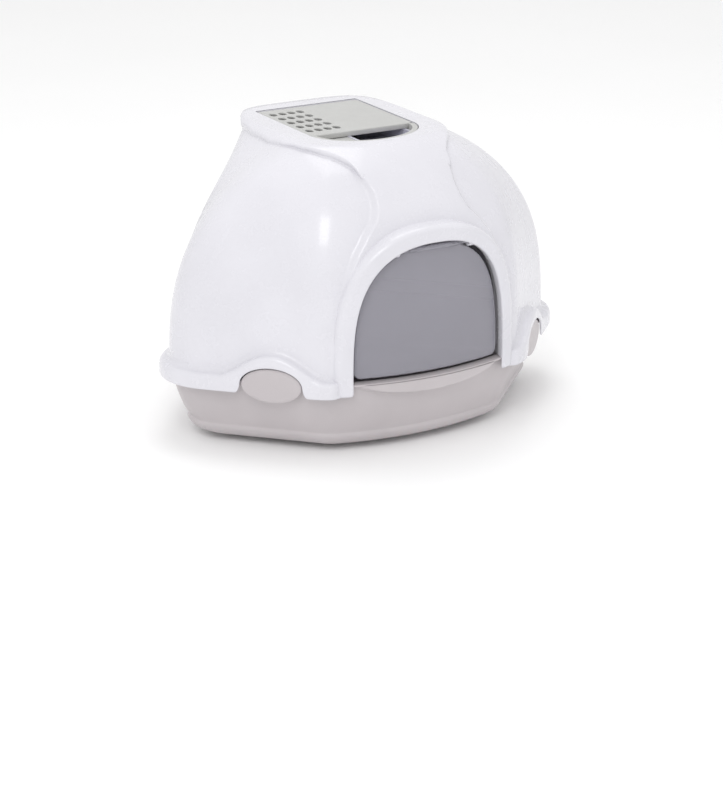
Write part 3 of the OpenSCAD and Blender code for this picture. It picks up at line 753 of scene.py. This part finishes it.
def pan_rings(zs, drop, grow, cols, apron):
    """Pan wall as rings: at each height the outline is worked out afresh at that offset."""
    u = np.linspace(0, 1, cols)
    rings = []
    for z, o in zip(zs, pan_offset(zs) + grow):
        p = foot(u, o)
        if apron:
            q = foot(u, 8.6)
            e = np.sqrt((q[:, 0] / 125) ** 2 + ((115 - z) / 23.5) ** 2)
            lift = smooth((1.04 - e) / 0.2) * (q[:, 1] < -100) * (z > 80)
            p = p + (q - p) * lift[:, None]
        rings.append(np.column_stack([p, np.full(cols, z + drop)]))
    return np.array(rings)


def pan_parts():
    """All of the pan: outer and inner wall, floor, flange with its raised back wall, feet and
    the ears that hold the clips' pins."""
    def bottom(count):
        """Heights up the rounded bottom, closer together at its foot."""
        return FLOOR_Z + (LEDGE_Z - FLOOR_Z) * (1 - np.cos(np.linspace(0, np.pi / 2, count)))

    zo = np.concatenate([bottom(16), [30.8, 31.6, 32.6, 34, 36], np.linspace(39, 78, 12),
                         np.linspace(80, 113.2, 34)])
    outer = pan_rings(zo, 0, 0, 330, True)
    inner = pan_rings(np.concatenate([bottom(12), np.linspace(33, 111, 20)]), 3, -3, 200, False)
    parts = [facing(grid(outer), (0, 40, 80)), facing(grid(inner), (0, 40, 80), inward=True)]
    for rings, flip in ((outer, False), (inner, True)):
        ring = rings[0]
        steps = np.array([0, 0.33, 0.66, 1.0])[:, None, None]
        mid = np.array([0, 40.0, ring[0, 2]])
        floor = mid + (ring[None] - mid) * steps
        floor[..., 2] = ring[0, 2]
        floor[0, :, 0] = 0
        parts.append(facing(grid(floor), (0, 40, 80), inward=flip))
    # flange and back wall, as one profile whose inner leg's height depends on the place
    u = np.linspace(0, 1, 330)
    b = foot(u, 0)
    wall_top = SILL_Z + (WALL_TOP - SILL_Z) * np.clip((b[:, 1] + 70) / 90, 0, 1)
    a = np.linspace(0, np.pi / 2, 4)
    lip = np.vstack([np.column_stack([5.7 + 1.3 * np.sin(a), 113.3 - 1.3 * np.cos(a)]),
                     np.column_stack([5.7 + 1.3 * np.cos(a), 113.7 + 1.3 * np.sin(a)])])
    prof = [(-2.4, 109.0, 0), (-0.6, 111.0, 0), (1.0, 112.0, 0)] + [(x, z, 0) for x, z in lip]
    prof += [(0, 115.0, 0), (-8.4, 115.0, 0), (-9.2, 115.3, 0), (-9.3, 116.0, 0),
             (0.0, -0.8, 1), (-0.5, -0.15, 1), (-1.5, 0.0, 1), (-2.5, -0.15, 1), (-3.0, -0.8, 1),
             (-12.5, 113.0, 0), (-12.3, 111.0, 0), (-5.0, 107.0, 0)]
    rows = []
    t_top = (wall_top - BASE_Z) / (CROWN_Z - BASE_Z)
    for off, z, kind in prof:
        if kind:
            # the wall's top stays five millimetres under the dome
            rows.append(np.column_stack([dome(u, t_top, off - 5, 0)[:, :2], wall_top + z]))
        else:
            top = np.where(z > SILL_Z + 0.2, np.minimum(z, wall_top), z)
            rows.append(np.column_stack([foot(u, off), top]))
    flange = grid(np.array(rows))
    parts.append(orient_profile(flange, len(u), 8))
    parts += [mirrored(p) for p in list(parts)]
    # feet
    for x, y, r in ((-118, -58, 22), (118, -58, 22), (-60, 130, 22), (60, 130, 22), (0, -118, 16)):
        ang = np.linspace(0, 2 * np.pi, 56, endpoint=False)
        ring = np.array([[0, 0], [r - 3, 0], [r - 1, 0.4], [r - 0.2, 1.4], [r + 0.8, 4],
                         [r + 2.4, 6.6], [r + 5, 7.6]])
        pts = np.stack([x + ring[:, 0, None] * np.cos(ang), y + ring[:, 0, None] * np.sin(ang),
                        np.broadcast_to(ring[:, 1, None], (len(ring), 56))], -1)
        parts.append(facing(grid(pts, wrap_cols=True), (x, y, 60)))
    for side in (-1, 1):
        for x in (-24, 16):
            parts.append(turned(ear(x), side))
    return parts


def orient_profile(part, cols, row):
    """Turns a swept profile so that the strip at the given row looks up."""
    v, q = part
    strip = q[row * (cols - 1):(row + 1) * (cols - 1)]
    p = v[strip]
    up = np.cross(p[:, 2] - p[:, 0], p[:, 3] - p[:, 1])[:, 2].sum()
    return (v, q[:, ::-1]) if up < 0 else part


def ear(x):
    """An ear for a clip's pin: the tangent outline of two circles, as a plate 8 mm thick with
    rounded edges."""
    a = np.radians(np.linspace(0, 360, 60, endpoint=False))
    c0, r0 = np.array([-(PLAN_HALF + 3), 91.0]), 4.6
    c1, r1 = np.array([-(PLAN_HALF - 13), 97.0]), 5.0
    ray = np.column_stack([np.cos(a), np.sin(a)])
    support0, support1 = ray @ c0 + r0, ray @ c1 + r1
    outline = np.where((support0 > support1)[:, None], c0 + ray * r0, c1 + ray * r1)
    v, q = rounded_slab(outline, x, x + 8, 0.8, 3)
    return np.column_stack([v[:, 2], v[:, 0], v[:, 1]]), q


# ---------------------------------------------------------------- flap, lid, clips

def flap_parts(gap, edge):
    """Curved pane of the flap: polar rings from its middle to the door's outline drawn in by
    the gap, with a rounded edge between its two faces, plus the bead and pins of its pivot."""
    t = 3.0
    z = SILL_Z + gap + (DOOR_H - 2 * gap) * np.sin(np.linspace(0, np.pi / 2, 500))
    hw = (DOOR_W / 2 - gap) * np.maximum(0, 1 - ((z - SILL_Z) / (DOOR_H - gap)) ** 3.2) ** (1 / 2.4)
    half = np.column_stack([hw, z])
    half[-1, 0] = 0
    r = 10.0
    foot_z = SILL_Z + gap
    keep = half[half[:, 1] > foot_z + r]
    corner = arc(keep[0, 0] - r, foot_z + r, r, -90, 0, 10)
    half = np.vstack([[[0, foot_z]], corner, keep])
    loop = np.vstack([half, half[-2:0:-1] * [-1, 1]])
    s = along(np.vstack([loop, loop[:1]]))
    ev = np.linspace(0, s[-1], 360, endpoint=False)
    closed = np.vstack([loop, loop[:1]])
    loop = np.column_stack([np.interp(ev, s, closed[:, 0]), np.interp(ev, s, closed[:, 1])])
    n = path_normals(loop, closed=True)
    mid = np.array([0.0, 215.0])
    f = np.array([0, 0.12, 0.25, 0.4, 0.55, 0.7, 0.82, 0.92])
    flat = mid + (loop - n * (edge + 2) - mid)[None] * f[:, None, None]
    a = np.linspace(0, np.pi, 9)
    inset = edge * (1 - np.sin(a))
    depth = t / 2 * (1 - np.cos(a))
    rim = loop[None] - n[None] * inset[:, None, None]
    one = loop - n * (edge + 2)
    rows = np.concatenate([flat, [one], rim, [one], flat[::-1]])
    back = np.concatenate([np.zeros(len(f) + 1), depth, np.full(len(f) + 1, t)])
    # both faces are cylinders about one axis
    y = FACE_MID + 13 - np.sqrt((FACE_R - back[:, None]) ** 2 - rows[..., 0] ** 2)
    pane = grid(np.stack([rows[..., 0], y, rows[..., 1]], -1), wrap_cols=True)


    def bar(x0, x1, radius, bevel):
        """Round bar on the flap's axis."""
        return rod((x0, FLAP_PIN_Y, FLAP_Z), (x1, FLAP_PIN_Y, FLAP_Z), radius, bevel)
    return [pane, bar(-40, 40, 3.9, 0.8), bar(-66, -38, 2.5, 0.4), bar(38, 66, 2.5, 0.4)]


def round_rect(x0, x1, y0, y1, r_front, r_back, per_corner=10):
    """Closed rectangle outline with rounded corners, anticlockwise from the front right."""
    return np.vstack([arc(x1 - r_front, y0 + r_front, r_front, -90, 0, per_corner),
                      arc(x1 - r_back, y1 - r_back, r_back, 0, 90, per_corner),
                      arc(x0 + r_back, y1 - r_back, r_back, 90, 180, per_corner),
                      arc(x0 + r_front, y0 + r_front, r_front, 180, 270, per_corner)])


def lid_parts(cols, rows, edge):
    """Vent lid: a plate with an oval vent in every cell of a grid, each cell a loft between its
    rectangle and the vent's rounded edge, a frame from the grid to the lid's rounded outline,
    and a rolled edge down into the rim. The hinge's barrel and the prop's lugs below are made by
    lid_under."""
    px, py, z1, z0 = 15.3, 28.5, LID_Z, LID_Z - 3
    bx0, by0 = -50 - px * cols / 2, LID_FRONT + 30 - py / 2
    bx1, by1 = bx0 + px * cols, by0 + py * rows
    # one cell: 16 points round, corners included
    a = np.radians(np.linspace(0, 360, 32, endpoint=False))
    k = 1 / np.maximum(np.abs(np.cos(a)), np.abs(np.sin(a)))
    box = np.column_stack([np.cos(a) * k * px / 2, np.sin(a) * k * py / 2])
    def oval(g):
        return np.column_stack([(5.6 + g) * np.cos(a), (8.5 + g) * np.sin(a)])
    b = np.linspace(0, np.pi / 2, 5)
    stack = [(box, z1)] + [(oval(0.8 * (1 - np.sin(x))), z1 - 0.8 * (1 - np.cos(x))) for x in b]
    stack += [(oval(0), z1 - 2.2), (oval(0.3), z0), (box, z0)]
    cell = np.array([np.column_stack([p, np.full(32, z)]) for p, z in stack])
    v, q = grid(cell, wrap_cols=True)
    parts = []
    for i in range(cols):
        for j in range(rows):
            parts.append((v + [bx0 + (i + 0.5) * px, by0 + (j + 0.5) * py, 0], q))
    # frame: the grid's rectangle lofted to the lid's outline, over the edge and under
    def side_points(p0, p1, n):
        """Evenly spaced points from one corner up to the next."""
        return p0 + (p1 - p0) * np.linspace(0, 1, n, endpoint=False)[:, None]
    c = np.array([[bx1, by0], [bx1, by1], [bx0, by1], [bx0, by0]], float)
    counts = (8 * rows, 8 * cols, 8 * rows, 8 * cols)
    inner = np.vstack([side_points(c[i], c[(i + 1) % 4], counts[i]) for i in range(4)])
    out = round_rect(-LID_W / 2, LID_W / 2, LID_FRONT, LID_BACK, 7, 5, 14)
    closed = np.vstack([out, out[:1]])
    s = along(closed)
    fine = np.linspace(0, s[-1], 4000, endpoint=False)
    dense = np.column_stack([np.interp(fine, s, closed[:, 0]), np.interp(fine, s, closed[:, 1])])
    cum = np.concatenate([np.linspace(i, i + 1, n, endpoint=False) for i, n in enumerate(counts)])
    keys = []
    for side, y in ((1, LID_FRONT), (1, LID_BACK), (-1, LID_BACK), (-1, LID_FRONT)):
        keys.append(fine[np.argmin(np.linalg.norm(dense - (side * LID_W / 2, y), axis=1))])
    keys = np.array(keys + [keys[0] + s[-1]])
    keys = np.unwrap(keys / s[-1] * 2 * np.pi) / (2 * np.pi) * s[-1]
    at = np.interp(cum, np.arange(5), keys) % s[-1]
    outline = np.column_stack([np.interp(at, s, closed[:, 0]), np.interp(at, s, closed[:, 1])])
    nrm = path_normals(outline, closed=True)
    def ring(p, z):
        return np.column_stack([p, np.broadcast_to(z, len(p))])
    rings = [ring(inner, z1), ring((inner + outline - nrm * (edge + 1)) / 2, z1),
             ring(outline - nrm * (edge + 0.6), z1)]
    for x in np.linspace(0, np.pi / 2, 6):
        rings.append(ring(outline - nrm * edge * (1 - np.sin(x)), z1 - edge * (1 - np.cos(x))))
    # the rim ends before the hinge, where the plate's own thickness is left
    rim = LID_Z - 8 + 4.6 * smooth((outline[:, 1] - (LID_BACK - 18)) / 4)
    rings += [ring(outline - nrm * inset, rim + up)
              for inset, up in ((0, 0.6), (0.3, 0.1), (1.2, 0), (2.2, 0.1), (2.5, 0.4))]
    rings += [ring(outline - nrm * 2.5, z0), ring((inner + outline - nrm * 2.5) / 2, z0),
              ring(inner, z0)]
    parts.append(grid(np.array(rings), wrap_cols=True))
    return parts


def lid_under():
    """Hinge barrel with its web, and the two lugs of the prop."""
    hz, hy = LID_Z - 6.3, LID_BACK - 3
    x0, x1 = -LID_W / 2 + 24, LID_W / 2 - 24
    parts = [rod((x0, hy, hz), (x1, hy, hz), 3.0, 0.4)]
    web = rounded_slab(round_rect(x0, x1, hy - 3, hy + 3, 0.8, 0.8, 4), hz, LID_Z - 1.5, 0.3, 2)
    parts.append(web)
    for x in (-15.5, 11.5):
        lug = round_rect(30 + x, 34 + x, 0, 6, 1.2, 1.2, 5)
        parts.append(rounded_slab(lug, hz - 3, LID_Z - 2, 0.5, 2))
    return parts


def clip_parts(dome_h):
    """Oval clip: superellipse rings from its middle, gently domed with a rounded edge, a flat
    back, and the hinge barrel with its neck below."""
    a = np.linspace(0, 2 * np.pi, 96, endpoint=False)
    w, h = CLIP_W / 2, CLIP_H / 2
    f = np.array([0, 0.2, 0.4, 0.58, 0.72, 0.83, 0.905])
    face0, face1 = 8.0, 13.0
    r = 2.6
    b = np.linspace(0, np.pi / 2, 7)
    rings = [(w * x, h * x, face1 - dome_h * x * x) for x in f]
    rings += [(w - r * (1 - np.sin(x)), h - r * (1 - np.sin(x)),
               face1 - dome_h - r * (1 - np.cos(x)) * 0.9) for x in b]
    rings += [(w, h, face0 + 0.8), (w - 0.8, h - 0.8, face0), (w * 0.5, h * 0.5, face0),
              (0, 0, face0)]
    pts = np.array([np.column_stack([rw * np.cos(a), np.full(96, -PLAN_HALF - y),
                                     CLIP_Z + rh * np.sin(a)]) for rw, rh, y in rings])
    plate = facing(grid(pts, wrap_cols=True), (0, -PLAN_HALF - 10.5, CLIP_Z))
    y0 = -PLAN_HALF - AXIS_OUT
    barrel = rod((-15.5, y0, AXIS_Z), (15.5, y0, AXIS_Z), 4.2, 0.5)
    neck = rounded_slab(round_rect(-15.5, 15.5, y0 - 6, y0, 0.8, 0.8, 4),
                        AXIS_Z - 2, AXIS_Z + 2, 0.5, 2)
    return [plate, barrel, neck]


def soften(name, width):
    """Bevels a carried-over CAD node's edges: its loose triangles weld, flat fans dissolve, and
    edges over 30 degrees take a small round."""
    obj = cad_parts[name]
    weld = obj.modifiers.new("weld", "WELD")
    weld.merge_threshold = 1e-5
    flat = obj.modifiers.new("flat", "DECIMATE")
    flat.decimate_type = "DISSOLVE"
    flat.angle_limit = np.radians(1.0)
    bevel = obj.modifiers.new("edge", "BEVEL")
    bevel.width = width
    bevel.segments = 2
    bevel.limit_method = "ANGLE"
    bevel.angle_limit = np.radians(35)
    bevel.harden_normals = False
    return obj


def finish_cad(name, material, width=0.0004):
    """Gives a carried-over CAD node its material and a softened edge."""
    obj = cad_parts[name]
    obj.data.materials.clear()
    obj.data.materials.append(finish_material(material))
    if width:
        soften(name, width)
    return obj


# ---------------------------------------------------------------- properties

class LitterHood(bpy.types.PropertyGroup):
    """Sizes of the hood's mouldings."""
    moulding: FloatProperty(name="Door moulding", description="Width of the moulding round the door",
                            default=0.025, min=0.015, max=0.03, unit="LENGTH")
    roll: FloatProperty(name="Moulding roll", description="Radius of the moulding's outer edge",
                        default=0.009, min=0.003, max=0.011, unit="LENGTH")


class LitterFlap(bpy.types.PropertyGroup):
    """Sizes of the swing flap."""
    gap: FloatProperty(name="Gap", description="Gap between the flap and the door opening",
                       default=0.0055, min=0.004, max=0.008, unit="LENGTH")
    edge: FloatProperty(name="Edge", description="Width of the flap's rounded edge",
                        default=0.0022, min=0.001, max=0.004, unit="LENGTH")


class LitterLid(bpy.types.PropertyGroup):
    """Sizes of the vent lid."""
    columns: IntProperty(name="Vent columns", description="Vents across the lid",
                         default=4, min=2, max=4)
    rows: IntProperty(name="Vent rows", description="Vents along the lid", default=5, min=3, max=5)
    edge: FloatProperty(name="Edge radius", description="Radius of the lid's upper edge",
                        default=0.002, min=0.0005, max=0.003, unit="LENGTH")


class LitterClips(bpy.types.PropertyGroup):
    """Sizes of the side clips."""
    dome: FloatProperty(name="Crowning", description="How far the clip's face is domed",
                        default=0.0012, min=0.0, max=0.002, unit="LENGTH")


def colour_of(piece, hex_colour):
    """A colour property of one piece."""
    return FloatVectorProperty(name=piece, description=f"Colour of the {piece.lower()}",
                               subtype="COLOR", size=3, default=linear(hex_colour)[:3],
                               min=0, max=1)


class LitterFinish(bpy.types.PropertyGroup):
    """Colours of the plastics."""
    hood_colour: colour_of("Hood", "#d9d8de")
    pan_colour: colour_of("Pan", "#bfb9bb")
    clip_colour: colour_of("Clips", "#bdb7b9")
    lid_colour: colour_of("Lid", "#b9b9b7")
    flap_colour: colour_of("Flap", "#b3b1bc")


# ---------------------------------------------------------------- operators

class LITTER_OT_hood(bpy.types.Operator):
    """Builds the hood: dome with its raised band, inner skin, moulding, rolled rim, seat lip"""
    bl_idname = "litter.hood"
    bl_label = "Build hood"

    def execute(self, context):
        size = context.scene.litter_hood
        half = grid(dome_grid(60, 96, 74, 22, 3))
        half = without(half, in_door(11))
        half = facing(half, (60, 60, 200))
        inside = hood_inside()
        rim = rolled_rim()
        parts = [half, mirrored(half), inside, mirrored(inside), rim, mirrored(rim), seat_lip()]
        parts += door_moulding(size.moulding / MM, size.roll / MM)
        obj = make("hood_moulding", parts, "hood", finish_material("polished polypropylene, white"),
                   angle=60, merge=0.02)
        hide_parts("hood_shell")
        for name in ("flap_bush_left", "flap_bush_right"):
            finish_cad(name, "polished polypropylene, white", 0.0003)
        return {"FINISHED"}


class LITTER_OT_pan(bpy.types.Operator):
    """Builds the pan: bowl with its ledge and apron, flange, raised back wall, feet and ears"""
    bl_idname = "litter.pan"
    bl_label = "Build pan"

    def execute(self, context):
        obj = make("pan_bowl", pan_parts(), "pan",
                   finish_material("satin polypropylene, warm grey"),
                   angle=50, merge=0.02)
        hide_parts("pan")
        for name in ("clip_pin_left", "clip_pin_right"):
            finish_cad(name, "drawn steel wire", 0.0003)
        return {"FINISHED"}


class LITTER_OT_flap(bpy.types.Operator):
    """Builds the smoked flap with its rounded edge and pivot"""
    bl_idname = "litter.flap"
    bl_label = "Build flap"

    def execute(self, context):
        size = context.scene.litter_flap
        parts = flap_parts(size.gap / MM, size.edge / MM)
        obj = make("flap_window", parts, "flap", finish_material("smoked polycarbonate"),
                   angle=50, merge=0.005, recalc=True)
        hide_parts("flap_pane")
        return {"FINISHED"}


class LITTER_OT_lid(bpy.types.Operator):
    """Builds the vent lid and finishes its rod, prop and prop pin"""
    bl_idname = "litter.lid"
    bl_label = "Build lid"

    def execute(self, context):
        size = context.scene.litter_lid
        parts = lid_parts(size.columns, size.rows, size.edge / MM) + lid_under()
        obj = make("vent_lid", parts, "lid", finish_material("satin polypropylene, lid grey"),
                   angle=40, merge=0.02, recalc=True)
        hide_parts("lid_panel")
        finish_cad("lid_rod", "drawn steel wire", 0.0003)
        finish_cad("prop_pin", "drawn steel wire", 0.0003)
        finish_cad("prop_strut", "satin polypropylene, lid grey", 0.0005)
        return {"FINISHED"}


class LITTER_OT_seat(bpy.types.Operator):
    """Finishes the bezel, storage tray and filter holder, and builds the charcoal pad"""
    bl_idname = "litter.seat"
    bl_label = "Build seat and filter"

    def execute(self, context):
        finish_cad("bezel", "satin polypropylene, lid grey", 0.0006)
        finish_cad("storage_tray", "frosted polypropylene", 0.0003)
        finish_cad("filter_holder", "satin polypropylene, lid grey", 0.0003)
        outline = round_rect(-50 - 20.4, -50 + 20.4, 4.6, 139.4, 3, 3, 8)
        n = path_normals(outline, closed=True)
        mid = outline.mean(0)
        rows, z0 = [], BEZEL_Z - 12
        # crowned pad: rings from the middle of the base, round the edge, to the raised middle
        for f, inset, z in ((0, 0, 0.2), (0.5, 1, 0.1), (1, 2.4, 0.1), (1, 0.6, 1.2), (1, 0, 3.0),
                            (1, 0.3, 5.0), (1, 1.5, 6.6), (1, 3.5, 7.3), (0.75, 3.5, 7.8),
                            (0.4, 3.5, 7.95), (0, 0, 8.0)):
            p = mid + (outline - n * inset - mid) * f
            rows.append(np.column_stack([p, np.full(len(p), z0 + z)]))
        # the pad's felt is darker than the charcoal alone, as painted shade seen down the lid's
        # vents
        pad = make("charcoal_pad", [grid(np.array(rows), wrap_cols=True)], "hood",
                   finish_material("charcoal felt"), angle=180, recalc=True)
        sub = pad.modifiers.new("soft", "SUBSURF")
        sub.levels = sub.render_levels = 1
        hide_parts("charcoal_filter")
        return {"FINISHED"}


class LITTER_OT_clips(bpy.types.Operator):
    """Builds the two oval side clips"""
    bl_idname = "litter.clips"
    bl_label = "Build clips"

    def execute(self, context):
        dome_h = context.scene.litter_clips.dome / MM
        for side, name, body in ((-1, "clip_left", "clip_l"), (1, "clip_right", "clip_r")):
            parts = [turned(p, side) for p in clip_parts(dome_h)]
            obj = make(name + "_oval", parts, body,
                       finish_material("satin polypropylene, clip grey"),
                       angle=50, recalc=True)
            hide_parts(name)
        return {"FINISHED"}


class LITTER_OT_stage(bpy.types.Operator):
    """Builds the pale floor and backdrop, the softboxes, the world light and the camera"""
    bl_idname = "litter.stage"
    bl_label = "Build stage"

    def execute(self, context):
        scene = context.scene
        mat, tree, out, co = blank("matt painted board")
        mottle = (noise(tree, co, 2.0, 2.0), "Fac")
        surfaced(mat, tree, out, {"Roughness": 0.7},
                 {"Base Color": two_tone(tree, "#fafafa", "#fdfdfd", mottle)})
        # floor and backdrop as one sheet: level, a quarter turn, then upright
        a = np.linspace(0, np.pi / 2, 24)
        bend = np.column_stack([7000 + 2500 * np.sin(a), 2500 * (1 - np.cos(a))])
        prof = np.vstack([[[-9000, 0]], bend, [[9500, 9000]]])
        turn = np.radians(29.6)
        x = np.linspace(-14000, 14000, 5)
        px, pd = np.meshgrid(x, prof[:, 0])
        _, pz = np.meshgrid(x, prof[:, 1])
        pts = np.stack([px * np.cos(turn) + pd * np.sin(turn),
                        -px * np.sin(turn) + pd * np.cos(turn) + MID_Y, pz], -1)
        part = grid(pts)
        p = part[0][part[1]]
        if np.cross(p[0, 2] - p[0, 0], p[0, 3] - p[0, 1])[2] < 0:
            part = (part[0], part[1][:, ::-1])
        sheet = make("backdrop", [part], None, mat, angle=60)

        world = bpy.data.worlds.new("studio")
        scene.world = world
        world.use_nodes = True
        world.node_tree.nodes["Background"].inputs["Color"].default_value = (1.0, 1.0, 1.0, 1.0)
        world.node_tree.nodes["Background"].inputs["Strength"].default_value = 0.9
        scene.view_settings.view_transform = "Standard"

        def softbox(name, place, aim, size, watts):
            """A square area light at a place, turned to look at a point."""
            data = bpy.data.lights.new(name, "AREA")
            data.shape, data.size, data.energy = "SQUARE", size, watts
            light = bpy.data.objects.new(name, data)
            light.location = place
            light.rotation_mode = "QUATERNION"
            light.rotation_quaternion = (Vector(aim) - Vector(place)).to_track_quat("-Z", "Y")
            scene.collection.objects.link(light)

        softbox("key softbox", (-1.7, -1.9, 2.3), (0, 0, 0.2), 1.3, 24)
        softbox("fill softbox", (2.2, -1.4, 1.5), (0, 0, 0.2), 1.6, 2)
        softbox("top softbox", (0.2, 0.5, 2.6), (0, 0, 0.3), 1.4, 12)

        data = bpy.data.cameras.new("camera")
        data.lens, data.sensor_width = 112.5, 36.0
        data.clip_start, data.clip_end = 0.05, 60.0
        camera = bpy.data.objects.new("camera", data)
        right = Vector((0.8695, -0.4939, 0.0))
        back = Vector((-0.4641, -0.8171, 0.3420))
        up = back.cross(right)
        camera.matrix_world = Matrix.Translation((-1.786, -3.200, 1.324)) @ Matrix(
            (right, up, back)).transposed().to_4x4()
        scene.collection.objects.link(camera)
        scene.camera = camera
        return {"FINISHED"}


class LITTER_PT_panel(bpy.types.Panel):
    """Litter box sizes, colours and build buttons"""
    bl_idname = "LITTER_PT_panel"
    bl_label = "Litter Box"
    bl_space_type = "VIEW_3D"
    bl_region_type = "UI"
    bl_category = "Litter Box"

    def draw(self, context):
        for group in ("litter_hood", "litter_flap", "litter_lid", "litter_clips", "litter_finish"):
            settings = getattr(context.scene, group)
            for key in settings.__annotations__:
                self.layout.prop(settings, key)
        for operator in OPERATORS:
            self.layout.operator(operator.bl_idname)


GROUPS = {"litter_hood": LitterHood, "litter_flap": LitterFlap, "litter_lid": LitterLid,
          "litter_clips": LitterClips, "litter_finish": LitterFinish}
OPERATORS = (LITTER_OT_hood, LITTER_OT_pan, LITTER_OT_flap, LITTER_OT_lid, LITTER_OT_seat,
             LITTER_OT_clips, LITTER_OT_stage)


def register():
    for cls in (*GROUPS.values(), *OPERATORS, LITTER_PT_panel):
        bpy.utils.register_class(cls)
    for key, cls in GROUPS.items():
        setattr(bpy.types.Scene, key, PointerProperty(type=cls))


def unregister():
    for key in GROUPS:
        delattr(bpy.types.Scene, key)
    for cls in (LITTER_PT_panel, *reversed(OPERATORS), *reversed(GROUPS.values())):
        bpy.utils.unregister_class(cls)


def main():
    """Registers the classes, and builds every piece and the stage."""
    register()
    for step in ("hood", "pan", "flap", "lid", "seat", "clips", "stage"):
        if getattr(bpy.ops.litter, step)() != {"FINISHED"}:
            raise RuntimeError(f"the {step} could not be built")


if __name__ == "__main__":
    main()
